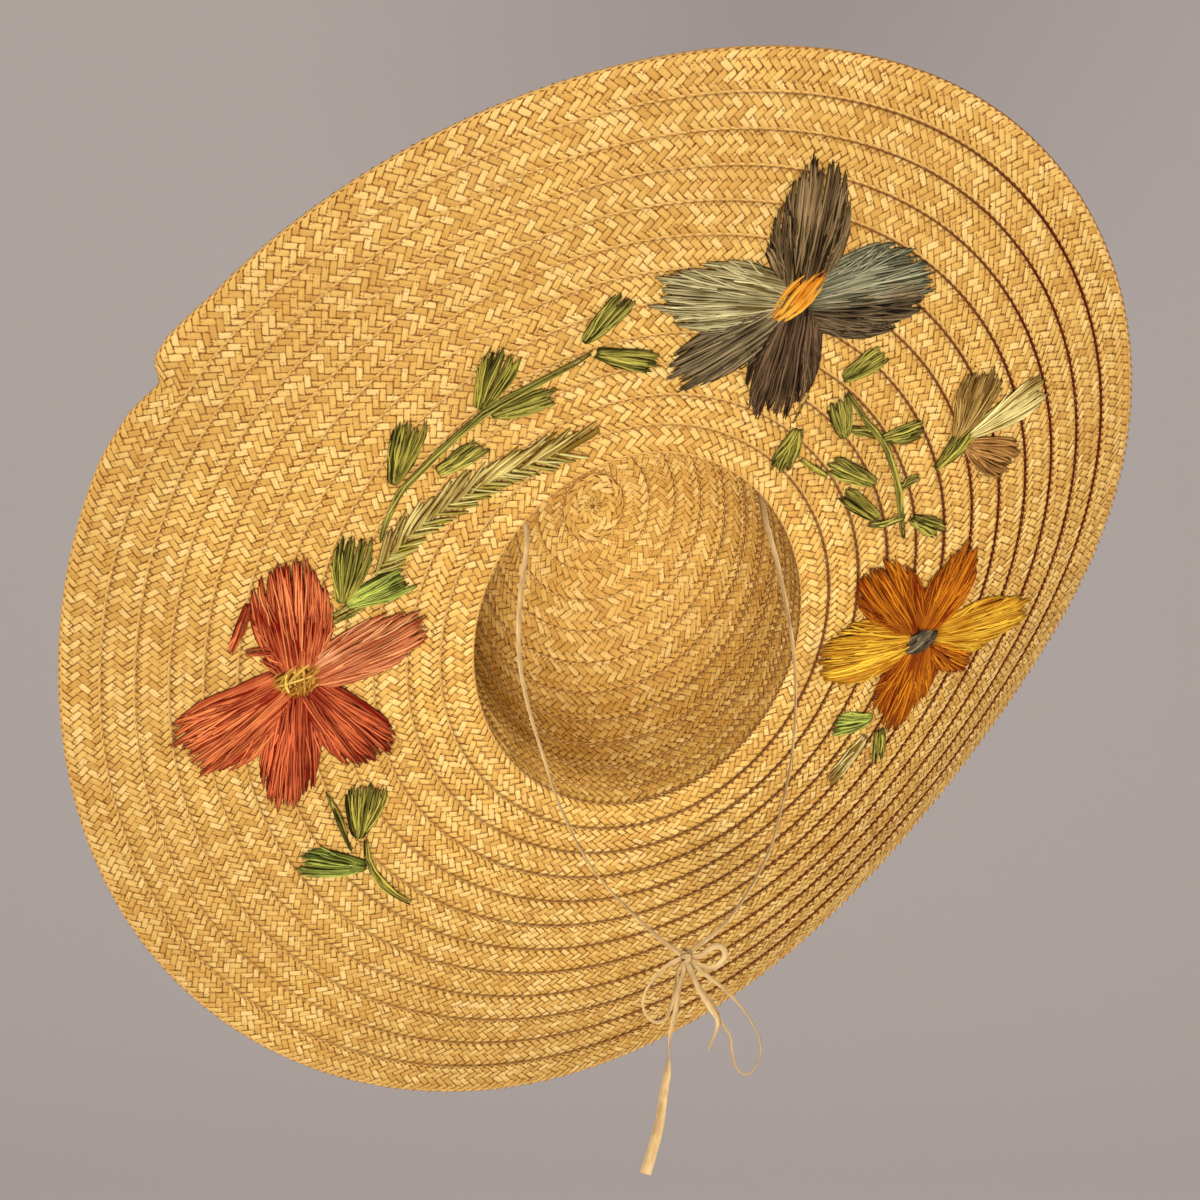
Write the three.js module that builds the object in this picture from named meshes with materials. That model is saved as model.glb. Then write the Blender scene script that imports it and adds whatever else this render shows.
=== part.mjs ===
// Wide-brim straw hat, worn far back like a halo, with raffia flowers under the brim and a chin tie.
// Millimetres, +Z up, front toward -Y. The origin is the middle of the head opening.
// The hat has a frame of its own inside the part: x across, y up toward the front edge of the brim,
// z out of the head opening. Polar angles run from +x toward +y.
import * as THREE from 'three';

// How the hat is worn
const TILT_DEG = 34.4;
const TURN_DEG = -9.4;
const ROLL_DEG = 6.6;

// Head opening, an oval for a head of about 54 cm
const OPENING_ACROSS = 145;
const OPENING_LONG = 197;

// Brim
const BRIM_REACH = 175.3;
const ROW_COUNT = 12;
const EDGE_ROW_WIDTH = 17.1;
const WALL = 1.5;
const ROW_STEP = 0.9;
const BRIM_RISE_NEAR = 5.4;
const BRIM_RISE_FAR = -26.3;
const BRIM_WAVES = [
  { turns: 1, reachCos: -9.0, reachSin: -0.1, riseCos: -23.8, riseSin: 0.6 },
  { turns: 2, reachCos: -5.8, reachSin: 10.6, riseCos: -13.9, riseSin: 3.7 },
  { turns: 3, reachCos: 1.9, reachSin: 0.5, riseCos: 9.4, riseSin: 0.1 },
  { turns: 4, reachCos: -1.7, reachSin: 0.6, riseCos: 2.0, riseSin: 1.0 },
];
const BRIM_STATIONS = 60;

// The gap in the edge where the end of the braid meets its own last round
const EDGE_NOTCH = [
  { deg: 132, out: 0 },
  { deg: 138, out: 2.5 },
  { deg: 140.5, out: 1.5 },
  { deg: 142.4, out: -6.5 },
  { deg: 147, out: -2 },
  { deg: 153, out: 0 },
];

// Crown: size is the share of the opening, depth is measured back from the opening
const CROWN_SECTIONS = [
  { depth: 1.8, size: 1.0 },
  { depth: 17, size: 0.995 },
  { depth: 31, size: 0.985 },
  { depth: 45, size: 0.965 },
  { depth: 58.5, size: 0.925 },
  { depth: 71, size: 0.85 },
  { depth: 81, size: 0.73 },
  { depth: 88, size: 0.58 },
  { depth: 92, size: 0.41 },
  { depth: 94, size: 0.22 },
];
const CROWN_DEPTH = 94.5;
const CROWN_ROW_STEP = 0.8;
const CROWN_STATIONS = 44;

// Raffia stitching on the underside
const STITCH_GAP = 0.6;
const STITCH_EDGE = 0.5;
const STITCH_THICK = 1.5;
const STITCH_STATIONS = 6;

const COLOURS = {
  straw: 0xd2a655,
  slate: 0x6d7a72,
  charcoal: 0x4a4440,
  taupe: 0x6b6154,
  coral: 0xc9604a,
  salmon: 0xd9876a,
  orange: 0xb9661c,
  gold: 0xc98a26,
  yolk: 0xd99a2e,
  olive: 0x9a8a3a,
  steel: 0x5d6b78,
  green: 0x5f7432,
  darkGreen: 0x47592a,
  brightGreen: 0x7d9a3a,
  pale: 0xb9ad6b,
  brown: 0x8a6a3c,
  raffia: 0xd7bf8c,
};

// Rows of a table as objects named by its columns
function table(columns, rows) {
  return rows.map((row) => Object.fromEntries(columns.map((column, i) => [column, row[i]])));
}

// A petal runs from its foot to its tip in the hat's own x and y. foot, wide and tip are its widths at
// the foot, the fullest place and the tip, and full is the share of the length where it is widest
const PETAL_COLUMNS = ['name', 'footX', 'footY', 'tipX', 'tipY', 'foot', 'wide', 'tip', 'full', 'colour'];
const FLOWERS = [
  {
    name: 'blue',
    middle: { at: [60, 166], long: 25, wide: 11, heading: 33, colour: 'yolk' },
    petals: table(PETAL_COLUMNS, [
      ['top', 62, 176, 68, 226, 14, 32, 13, 0.6, 'taupe'],
      ['right', 74, 167, 122, 161, 14, 32, 12, 0.5, 'slate'],
      ['bottom', 58, 154, 50, 112, 9, 25, 13, 0.6, 'charcoal'],
      ['low_left', 48, 156, 8, 133, 4, 23, 15, 0.75, 'slate'],
      ['left', 46, 167, -3, 180, 6, 24, 13, 0.6, 'slate'],
      ['sliver', 52, 177, 44, 194, 2, 4, 2, 0.5, 'taupe'],
    ]),
  },
  {
    name: 'coral',
    middle: { at: [-148, -5], long: 21, wide: 15, heading: 22, colour: 'olive' },
    petals: table(PETAL_COLUMNS, [
      ['top', -148, 7, -149, 66, 12, 30, 14, 0.5, 'coral'],
      ['upper_right', -136, 1, -93, 27, 8, 21, 9, 0.6, 'salmon'],
      ['lower_right', -140, -14, -113, -55, 5, 22, 14, 0.7, 'coral'],
      ['bottom', -151, -19, -155, -78, 7, 23, 11, 0.65, 'coral'],
      ['low_left', -160, -9, -199, -51, 10, 31, 20, 0.6, 'salmon'],
      ['sliver', -167, 39, -176, 11, 2, 4, 2, 0.5, 'coral'],
    ]),
  },
  {
    name: 'gold',
    middle: { at: [133, -25], long: 20, wide: 14, heading: 10, colour: 'steel' },
    petals: table(PETAL_COLUMNS, [
      ['top_left', 126, -12, 103, 27, 8, 22, 13, 0.65, 'orange'],
      ['top_right', 137, -13, 152, 26, 8, 21, 8, 0.55, 'orange'],
      ['right', 147, -25, 195, -37, 10, 26, 9, 0.55, 'gold'],
      ['low_right', 145, -38, 163, -60, 4, 7, 4, 0.6, 'gold'],
      ['bottom', 131, -37, 125, -80, 10, 25, 9, 0.5, 'orange'],
      ['left', 119, -24, 80, -23, 12, 33, 16, 0.6, 'gold'],
    ]),
  },
];

// Leaves and sprigs have the shape of slim petals
const LEAVES = table(PETAL_COLUMNS, [
  ['vine_leaf_a', -29, 158, -9, 180, 3, 12, 7, 0.65, 'green'],
  ['vine_leaf_b', -22, 151, 4, 143, 3, 12, 4, 0.4, 'green'],
  ['vine_leaf_c', -71, 132, -59, 160, 4, 18, 10, 0.65, 'darkGreen'],
  ['vine_leaf_d', -63, 127, -37, 134, 3, 11, 4, 0.4, 'green'],
  ['vine_leaf_e', -106, 99, -97, 130, 4, 15, 6, 0.6, 'darkGreen'],
  ['vine_leaf_f', -86, 102, -67, 114, 3, 11, 6, 0.5, 'green'],
  ['vine_leaf_g', -128, 40, -121, 73, 5, 17, 8, 0.6, 'darkGreen'],
  ['vine_leaf_h', -120, 35, -97, 49, 4, 14, 7, 0.6, 'brightGreen'],
  ['left_sprig_leaf_a', -125, -93, -119, -66, 4, 16, 8, 0.6, 'darkGreen'],
  ['left_sprig_leaf_b', -126, -115, -154, -107, 4, 14, 9, 0.6, 'green'],
  ['right_spray_leaf_a', 82, 125, 102, 135, 4, 12, 6, 0.5, 'green'],
  ['right_spray_leaf_b', 84, 97, 80, 119, 4, 11, 5, 0.5, 'green'],
  ['right_spray_leaf_c', 105, 92, 122, 93, 3, 11, 7, 0.6, 'green'],
  ['right_spray_leaf_d', 63, 102, 56, 81, 3, 12, 6, 0.55, 'darkGreen'],
  ['right_spray_leaf_e', 101, 70, 76, 86, 3, 11, 6, 0.6, 'green'],
  ['right_spray_leaf_f', 104, 51, 84, 70, 3, 10, 6, 0.6, 'darkGreen'],
  ['right_spray_leaf_g', 121, 47, 137, 35, 3, 10, 5, 0.6, 'green'],
  ['pale_sprig_olive', 137, 86, 154, 116, 4, 15, 8, 0.65, 'brown'],
  ['pale_sprig_cream', 148, 82, 186, 91, 3, 9, 3, 0.5, 'pale'],
  ['pale_sprig_tan', 147, 75, 171, 56, 3, 17, 11, 0.7, 'brown'],
  ['pale_sprig_base', 128, 68, 142, 79, 2, 8, 5, 0.7, 'darkGreen'],
  ['low_right_leaf', 113, -68, 92, -67, 4, 15, 8, 0.55, 'brightGreen'],
  ['low_right_dark_leaf', 120, -81, 122, -104, 3, 8, 4, 0.5, 'darkGreen'],
  ['low_right_pale_leaf', 112, -80, 95, -108, 3, 9, 4, 0.5, 'pale'],
]);

// Stems are narrow strips that follow their points
const STEMS = [
  {
    name: 'vine_stem',
    wide: 2.6,
    colour: 'green',
    points: [[-111, 80], [-102, 91], [-90, 107], [-76, 122], [-60, 135], [-38, 149]],
  },
  {
    name: 'left_sprig_stem',
    wide: 2.8,
    colour: 'darkGreen',
    points: [[-121, -98], [-121, -112], [-114, -128], [-101, -142]],
  },
  {
    name: 'right_spray_stem',
    wide: 2.4,
    colour: 'green',
    points: [[88, 118], [97, 103], [105, 84], [112, 62], [117, 44]],
  },
  {
    name: 'pale_feather',
    wide: 13,
    colour: 'pale',
    points: [[-107, 58], [-96, 76], [-77, 92], [-53, 105], [-22, 111]],
  },
];

// Chin tie, in the part's own frame: a strand of split raffia down each side to one bow
const TIE_DIAMETER = 1.8;
const TIE_SIDES = 8;
const KNOT = { at: [-7, -62, -129], size: [12, 9, 11] };
const TIES = [
  {
    name: 'tie_left',
    steps: 18,
    points: [
      [-60.1, -8.2, 61.5], [-61.4, -14.8, 57.1], [-61.9, -21, 52], [-63, -26, 43], [-66, -28, 27],
      [-68, -29, 10], [-68, -31, -8], [-65, -34, -27], [-61, -38, -44], [-56, -41, -62], [-49, -45, -80],
      [-40, -50, -96], [-26, -56, -112], [-17, -59, -121], [-11.7, -60.7, -125.2],
    ],
  },
  {
    name: 'tie_right',
    steps: 18,
    points: [
      [-2.5, -63, -125], [3, -64.5, -121], [11, -66, -114], [21, -68, -100], [30, -68, -84],
      [36, -67, -66], [41, -66, -45], [43, -65, -24], [43, -63, -3], [41, -60, 16], [38.5, -56, 35],
      [37, -49, 51], [38.8, -42.3, 58.8], [40.3, -36.3, 63.9], [41.2, -29.6, 68.3],
    ],
  },
  {
    name: 'bow_loop_left',
    steps: 9,
    points: [
      [-13.2, -62, -130.9], [-20, -63, -135], [-26, -63.5, -142], [-27, -64.5, -149], [-23, -66, -154],
      [-18, -66.5, -153], [-15, -66, -147], [-12.5, -65, -140], [-11, -63.4, -133.9],
    ],
  },
  {
    name: 'bow_loop_small',
    steps: 5,
    points: [
      [0.1, -62.6, -128.6], [3, -64, -126], [7, -66, -124.5], [9, -68, -128], [6, -68.5, -132],
      [2, -67, -133.5], [-1.3, -64.2, -132.1],
    ],
  },
  {
    name: 'bow_loop_large',
    steps: 15,
    points: [
      [-1.8, -61.2, -133.3], [3, -63, -137.5], [9, -67, -143], [14, -71, -149], [19, -75, -158],
      [21, -77, -166], [19, -77, -174], [15, -75, -178], [12, -72, -175], [11, -70, -169],
      [11, -68, -163], [8, -66, -157], [5.5, -64, -150], [1, -62, -144], [-4.4, -61, -134.8],
    ],
  },
  {
    name: 'tie_tail_short',
    steps: 4,
    points: [[-5.5, -64.9, -133.9], [-4, -69, -141], [-1, -73, -148], [2, -75, -155], [-2, -74, -166]],
  },
  {
    name: 'tie_tail_long',
    steps: 9,
    points: [
      [-8.3, -63.7, -134.9], [-11, -65, -141], [-14, -67, -152], [-16.5, -67, -162], [-17, -67, -173],
      [-19, -67, -184], [-21, -66, -199], [-26, -64, -218],
    ],
  },
];

const radians = THREE.MathUtils.degToRad;

function material(colour) {
  return new THREE.MeshStandardMaterial({ color: COLOURS[colour], roughness: 0.75, metalness: 0 });
}

// Value of a table of {key, value} rows at a place between two rows
function between(rows, key, value, at) {
  if (at <= rows[0][key]) return rows[0][value];
  for (let i = 1; i < rows.length; i += 1) {
    const low = rows[i - 1];
    const high = rows[i];
    if (at <= high[key]) {
      const share = (at - low[key]) / (high[key] - low[key]);
      return low[value] + (high[value] - low[value]) * share;
    }
  }
  return rows[rows.length - 1][value];
}

// Distance from the hat's axis to the head opening
function openingRadius(angle) {
  const across = OPENING_ACROSS / 2;
  const long = OPENING_LONG / 2;
  return (across * long) / Math.hypot(long * Math.cos(angle), across * Math.sin(angle));
}

function brimReach(angle) {
  return BRIM_WAVES.reduce(
    (sum, w) => sum + w.reachCos * Math.cos(w.turns * angle) + w.reachSin * Math.sin(w.turns * angle),
    BRIM_REACH,
  );
}

// Height of the underside over the opening's plane; share runs from 0 at the opening to 1 at the edge
function brimRise(angle, share) {
  const far = BRIM_WAVES.reduce(
    (sum, w) => sum + w.riseCos * Math.cos(w.turns * angle) + w.riseSin * Math.sin(w.turns * angle),
    BRIM_RISE_FAR,
  );
  return BRIM_RISE_NEAR * share + far * share * share;
}

function brimPoint(angle, share, lift, out = 0) {
  const radius = openingRadius(angle) + brimReach(angle) * share + out;
  return new THREE.Vector3(
    radius * Math.cos(angle),
    radius * Math.sin(angle),
    brimRise(angle, share) + lift,
  );
}

// The point of the underside at x and y
function undersideAt(x, y, lift) {
  const angle = Math.atan2(y, x);
  const share = (Math.hypot(x, y) - openingRadius(angle)) / brimReach(angle);
  return new THREE.Vector3(x, y, brimRise(angle, share) + lift);
}

// Closed body from rings of points; a ring of one point closes an end, and loops joins last to first
function solidFromRings(rings, loops) {
  const positions = [];
  const triangle = (a, b, c) => positions.push(...a.toArray(), ...b.toArray(), ...c.toArray());
  const joins = loops ? rings.length : rings.length - 1;
  for (let i = 0; i < joins; i += 1) {
    const near = rings[i];
    const next = rings[(i + 1) % rings.length];
    const count = Math.max(near.length, next.length);
    for (let j = 0; j < count; j += 1) {
      const k = (j + 1) % count;
      if (near.length === 1) triangle(near[0], next[k], next[j]);
      else if (next.length === 1) triangle(near[j], near[k], next[0]);
      else {
        triangle(near[j], near[k], next[k]);
        triangle(near[j], next[k], next[j]);
      }
    }
  }
  const geometry = new THREE.BufferGeometry();
  geometry.setAttribute('position', new THREE.Float32BufferAttribute(positions, 3));
  geometry.computeVertexNormals();
  return geometry;
}

function named(name, geometry, colour) {
  const mesh = new THREE.Mesh(geometry, material(colour));
  mesh.name = name;
  return mesh;
}

// Share of the brim's reach at the inner edge of row i
function rowShare(angle, row) {
  const edgeRow = EDGE_ROW_WIDTH / brimReach(angle);
  return ((1 - edgeRow) * row) / (ROW_COUNT - 1);
}

function brimAngles() {
  const degrees = EDGE_NOTCH.map((row) => row.deg);
  for (let i = 0; i < BRIM_STATIONS; i += 1) degrees.push((360 * i) / BRIM_STATIONS);
  return [...new Set(degrees)].sort((a, b) => a - b).map(radians);
}

// Each row of braid laps over the row inside it, so the underside steps up at every row
function brimGeometry() {
  const angles = brimAngles();
  const notch = (angle) => between(EDGE_NOTCH, 'deg', 'out', THREE.MathUtils.radToDeg(angle));
  const ring = (row, lift, out) => angles.map((angle) => {
    const share = row < ROW_COUNT ? rowShare(angle, row) : 1;
    return brimPoint(angle, share, lift, out ? notch(angle) : 0);
  });
  const rings = [];
  for (let row = 0; row <= ROW_COUNT; row += 1) rings.push(ring(row, -WALL, row === ROW_COUNT));
  rings.push(ring(ROW_COUNT, 0, true));
  for (let row = ROW_COUNT - 1; row >= 0; row -= 1) {
    rings.push(ring(row, ROW_STEP, false));
    if (row > 0) rings.push(ring(row, 0, false));
  }
  return solidFromRings(rings, true);
}

function crownRing(section, wall, shift) {
  return Array.from({ length: CROWN_STATIONS }, (_, i) => {
    const angle = (2 * Math.PI * i) / CROWN_STATIONS;
    const radius = openingRadius(angle) * section.size + wall;
    return new THREE.Vector3(radius * Math.cos(angle), radius * Math.sin(angle), -section.depth - shift);
  });
}

// The crown's rows step outward toward the brim; the inside is smooth
function crownGeometry() {
  const tip = (depth) => [new THREE.Vector3(0, 0, -depth)];
  const inside = CROWN_SECTIONS.map((section) => crownRing(section, 0, 0));
  const outside = [];
  CROWN_SECTIONS.forEach((section, i) => {
    const slope = Math.min(1, section.depth / CROWN_DEPTH) ** 4;
    const wall = WALL * (1 - slope);
    const rise = WALL * slope;
    if (i > 0) outside.push(crownRing(section, wall + CROWN_ROW_STEP * (1 - slope), rise));
    outside.push(crownRing(section, wall, rise));
  });
  const rings = [tip(CROWN_DEPTH + WALL), ...outside.reverse(), ...inside, tip(CROWN_DEPTH)];
  return solidFromRings(rings, false);
}

// Low domed strip on the underside that follows its places, each {x, y, half} with half its width
function stitchedStrip(places) {
  const low = ROW_STEP + STITCH_GAP;
  const rings = places.map((place, i) => {
    const before = places[Math.max(0, i - 1)];
    const after = places[Math.min(places.length - 1, i + 1)];
    const along = new THREE.Vector2(after.x - before.x, after.y - before.y).normalize();
    const at = (side, lift) => undersideAt(place.x - along.y * side, place.y + along.x * side, lift);
    return [
      at(place.half, low),
      at(place.half * 0.9, low + STITCH_EDGE),
      at(0, low + STITCH_THICK),
      at(-place.half * 0.9, low + STITCH_EDGE),
      at(-place.half, low),
    ];
  });
  const middle = low + STITCH_EDGE / 2;
  const end = (place) => [undersideAt(place.x, place.y, middle)];
  return solidFromRings([end(places[0]), ...rings, end(places[places.length - 1])], false);
}

// Half width of a petal at a share of its length: foot, swelling to the fullest place, then to the tip
function petalHalf(petal, share) {
  const ease = (t) => Math.sin((Math.PI / 2) * t);
  if (share < petal.full) {
    return (petal.foot + (petal.wide - petal.foot) * ease(share / petal.full)) / 2;
  }
  return (petal.tip + (petal.wide - petal.tip) * ease((1 - share) / (1 - petal.full))) / 2;
}

function petalGeometry(petal) {
  const places = Array.from({ length: STITCH_STATIONS }, (_, i) => {
    const share = i / (STITCH_STATIONS - 1);
    return {
      x: petal.footX + (petal.tipX - petal.footX) * share,
      y: petal.footY + (petal.tipY - petal.footY) * share,
      half: petalHalf(petal, share),
    };
  });
  return stitchedStrip(places);
}

function middleGeometry(middle) {
  const heading = radians(middle.heading);
  const places = Array.from({ length: STITCH_STATIONS }, (_, i) => {
    const turn = Math.PI * ((i + 0.35) / (STITCH_STATIONS - 0.3));
    const along = -Math.cos(turn) * (middle.long / 2);
    return {
      x: middle.at[0] + Math.cos(heading) * along,
      y: middle.at[1] + Math.sin(heading) * along,
      half: Math.sin(turn) * (middle.wide / 2),
    };
  });
  return stitchedStrip(places);
}

function stemGeometry(stem) {
  const route = new THREE.CatmullRomCurve3(stem.points.map(([x, y]) => new THREE.Vector3(x, y, 0)));
  const along = route.getSpacedPoints(stem.points.length + 2);
  const places = along.map((point) => ({ x: point.x, y: point.y, half: stem.wide / 2 }));
  return stitchedStrip(places);
}

function tieGeometry(tie) {
  const section = new THREE.Shape();
  for (let i = 0; i < TIE_SIDES; i += 1) {
    const angle = (2 * Math.PI * i) / TIE_SIDES;
    const x = (TIE_DIAMETER / 2) * Math.cos(angle);
    const y = (TIE_DIAMETER / 2) * Math.sin(angle);
    if (i === 0) section.moveTo(x, y);
    else section.lineTo(x, y);
  }
  const places = tie.points.map((point) => new THREE.Vector3(...point));
  const route = new THREE.CatmullRomCurve3(places, false, 'centripetal');
  const options = { steps: tie.steps, extrudePath: route, bevelEnabled: false };
  return new THREE.ExtrudeGeometry(section, options);
}

function knotGeometry() {
  const geometry = new THREE.SphereGeometry(0.5, 10, 8);
  geometry.scale(...KNOT.size);
  geometry.translate(...KNOT.at);
  return geometry;
}

const hat = new THREE.Group();
hat.rotation.z = radians(ROLL_DEG);
hat.add(named('crown', crownGeometry(), 'straw'));
hat.add(named('brim', brimGeometry(), 'straw'));
FLOWERS.forEach(({ name, middle, petals }) => {
  hat.add(named(`${name}_flower_middle`, middleGeometry(middle), middle.colour));
  petals.forEach((petal) => {
    hat.add(named(`${name}_petal_${petal.name}`, petalGeometry(petal), petal.colour));
  });
});
LEAVES.forEach((leaf) => hat.add(named(leaf.name, petalGeometry(leaf), leaf.colour)));
STEMS.forEach((stem) => hat.add(named(stem.name, stemGeometry(stem), stem.colour)));

const tilted = new THREE.Group();
tilted.rotation.x = radians(90 + TILT_DEG);
tilted.add(hat);

const turned = new THREE.Group();
turned.rotation.z = radians(TURN_DEG);
turned.add(tilted);

const group = new THREE.Group();
group.add(turned);
TIES.forEach((tie) => group.add(named(tie.name, tieGeometry(tie), 'raffia')));
group.add(named('bow_knot', knotGeometry(), 'raffia'));

export default group;
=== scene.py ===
import math
import bpy
import numpy as np
from mathutils import Matrix, Vector


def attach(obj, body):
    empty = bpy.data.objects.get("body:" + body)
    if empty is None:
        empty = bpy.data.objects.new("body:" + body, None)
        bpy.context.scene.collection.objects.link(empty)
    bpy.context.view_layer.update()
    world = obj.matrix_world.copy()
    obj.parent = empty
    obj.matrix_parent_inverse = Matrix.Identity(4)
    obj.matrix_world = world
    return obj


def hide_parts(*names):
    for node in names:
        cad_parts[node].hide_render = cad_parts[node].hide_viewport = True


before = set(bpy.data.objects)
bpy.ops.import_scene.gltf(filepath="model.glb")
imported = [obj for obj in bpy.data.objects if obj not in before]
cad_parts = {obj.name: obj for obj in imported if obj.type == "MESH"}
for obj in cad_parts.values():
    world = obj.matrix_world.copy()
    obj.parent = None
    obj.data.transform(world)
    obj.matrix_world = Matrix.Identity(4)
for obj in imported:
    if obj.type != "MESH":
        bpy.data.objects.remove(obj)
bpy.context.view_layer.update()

# All sizes are in metres. The hat's own frame has x across, y up toward the front edge of the brim
# and z out of the head opening, as in the part's source.
MM = 0.001

# How the hat is worn
TILT = math.radians(34.4)
TURN = math.radians(-9.4)
ROLL = math.radians(6.6)
HAT = np.array(
    Matrix.Rotation(TURN, 3, "Z")
    @ Matrix.Rotation(math.pi / 2 + TILT, 3, "X")
    @ Matrix.Rotation(ROLL, 3, "Z")
)

# Head opening and brim, as in the part's source
OPENING_ACROSS = 145 * MM
OPENING_LONG = 197 * MM
BRIM_REACH = 175.3
ROW_COUNT = 12
EDGE_ROW_WIDTH = 17.1 * MM
ROW_STEP = 0.9 * MM
WALL = 1.5 * MM
BRIM_RISE_NEAR = 5.4
BRIM_RISE_FAR = -26.3
WAVE_COLUMNS = ("turns", "reach_cos", "reach_sin", "rise_cos", "rise_sin")
BRIM_WAVES = [
    (1, -9.0, -0.1, -23.8, 0.6),
    (2, -5.8, 10.6, -13.9, 3.7),
    (3, 1.9, 0.5, 9.4, 0.1),
    (4, -1.7, 0.6, 2.0, 1.0),
]
NOTCH_DEGREES = (132, 138, 140.5, 142.4, 147, 153)
NOTCH_OUT = (0, 2.5, 1.5, -6.5, -2, 0)

# Crown: depth is back from the opening in millimetres, size is the share of the opening
CROWN_DEPTHS = (0.6, 17, 31, 45, 58.5, 71, 81, 88, 92, 94, 94.5)
CROWN_SIZES = (1.0, 0.995, 0.985, 0.965, 0.925, 0.85, 0.73, 0.58, 0.41, 0.22, 0.0)
CROWN_ROW_STEP = 0.8 * MM

# Flat braid: four columns of strands that pass over two and under two
STRAND_WIDTH = 3.0 * MM
COLUMN_PITCH = STRAND_WIDTH * math.sqrt(2)
BRAID_COLUMNS = 4
BRAID_WIDTH = COLUMN_PITCH * BRAID_COLUMNS
BRAID_HALF = 0.6 * MM

# Camera
CAMERA_PLACE = (-0.50154, -1.08584, 0.09967)
CAMERA_AZIMUTH = math.radians(-24)
CAMERA_ELEVATION = math.radians(4)
CAMERA_ANGLE = 2 * math.atan(600 / 2760)

# Chin tie, in the part's own frame, in millimetres
KNOT_AT = (-7, -62, -129)
TIES = {
    "tie_left": [
        (-60.1, -8.2, 61.5), (-61.4, -14.8, 57.1), (-61.9, -21, 52), (-63, -26, 43), (-66, -28, 27),
        (-68, -29, 10), (-68, -31, -8), (-65, -34, -27), (-61, -38, -44), (-56, -41, -62),
        (-49, -45, -80), (-40, -50, -96), (-26, -56, -112), (-17, -59, -121), (-11.7, -60.7, -125.2),
    ],
    "tie_right": [
        (-2.5, -63, -125), (3, -64.5, -121), (11, -66, -114), (21, -68, -100), (30, -68, -84),
        (36, -67, -66), (41, -66, -45), (43, -65, -24), (43, -63, -3), (41, -60, 16), (38.5, -56, 35),
        (37, -49, 51), (38.8, -42.3, 58.8), (40.3, -36.3, 63.9), (41.2, -29.6, 68.3),
    ],
    "bow_loop_left": [
        (-13.2, -62, -130.9), (-20, -63, -135), (-26, -63.5, -142), (-27, -64.5, -149),
        (-23, -66, -154), (-18, -66.5, -153), (-15, -66, -147), (-12.5, -65, -140),
        (-11, -63.4, -133.9),
    ],
    "bow_loop_small": [
        (0.1, -62.6, -128.6), (3, -64, -126), (7, -66, -124.5), (9, -68, -128), (6, -68.5, -132),
        (2, -67, -133.5), (-1.3, -64.2, -132.1),
    ],
    "bow_loop_large": [
        (-1.8, -61.2, -133.3), (3, -63, -137.5), (9, -67, -143), (14, -71, -149), (19, -75, -158),
        (21, -77, -166), (19, -77, -174), (15, -75, -178), (12, -72, -175), (11, -70, -169),
        (11, -68, -163), (8, -66, -157), (5.5, -64, -150), (1, -62, -144), (-4.4, -61, -134.8),
    ],
    "tie_tail_short": [
        (-5.5, -64.9, -133.9), (-4, -69, -141), (-1, -73, -148), (2, -75, -155), (-2, -74, -166),
    ],
    "tie_tail_long": [
        (-8.3, -63.7, -134.9), (-11, -65, -141), (-14, -67, -152), (-16.5, -67, -162),
        (-17, -67, -173), (-19, -67, -184), (-21, -66, -199), (-26, -64, -218),
    ],
}

# Raffia stitching: how far the strip that the stitches follow stands off the underside, at its sides
# and along its middle
STITCH_LOW = 1.2 * MM
STITCH_HIGH = 2.6 * MM

# Petals and leaves run from a foot to a tip in the hat's own x and y, in millimetres. foot and wide
# are widths at the foot and the fullest place, tip is the width of the longest stitches' ends, and
# full is the share of the length where it is fullest.
PETAL_COLUMNS = ("name", "foot_x", "foot_y", "tip_x", "tip_y", "foot", "wide", "tip", "full", "finish")
PETALS = [
    ("blue_petal_top", 61, 169, 68, 229, 22, 36, 14, 0.5, "taupe"),
    ("blue_petal_right", 64, 164, 126, 162, 24, 43, 12, 0.5, "slate over charcoal"),
    ("blue_petal_bottom", 60, 163, 51, 109, 22, 33, 16, 0.6, "charcoal"),
    ("blue_petal_low_left", 55, 162, 6, 134, 18, 26, 14, 0.7, "deep slate"),
    ("blue_petal_left", 57, 165, -5, 179, 20, 34, 14, 0.55, "pale slate"),
    ("blue_petal_sliver", 52, 177, 44, 194, 2, 4, 2, 0.5, "taupe"),
    ("coral_petal_top", -148, 0, -151, 69, 20, 35, 12, 0.5, "bright coral"),
    ("coral_petal_upper_right", -143, -3, -90, 26, 18, 30, 13, 0.65, "salmon over coral"),
    ("coral_petal_lower_right", -144, -8, -112, -55, 17, 31, 18, 0.7, "coral"),
    ("coral_petal_bottom", -150, -9, -157, -81, 18, 27, 9, 0.65, "coral"),
    ("coral_petal_low_left", -152, -6, -202, -49, 22, 40, 24, 0.65, "deep salmon"),
    ("coral_petal_sliver", -167, 39, -176, 11, 2, 4, 2, 0.5, "coral"),
    ("gold_petal_top_left", 129, -20, 102, 29, 17, 30, 16, 0.65, "orange"),
    ("gold_petal_top_right", 135, -20, 154, 29, 16, 27, 9, 0.5, "orange"),
    ("gold_petal_right", 140, -25, 197, -35, 18, 36, 10, 0.45, "gold"),
    ("gold_petal_low_right", 139, -31, 164, -57, 9, 17, 7, 0.6, "orange"),
    ("gold_petal_bottom", 132, -29, 125, -83, 18, 33, 10, 0.45, "orange"),
    ("gold_petal_left", 128, -24, 80, -23, 22, 39, 20, 0.6, "gold"),
]
LEAF_COLUMNS = ("name", "foot_x", "foot_y", "tip_x", "tip_y", "foot", "wide", "finish")
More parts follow.
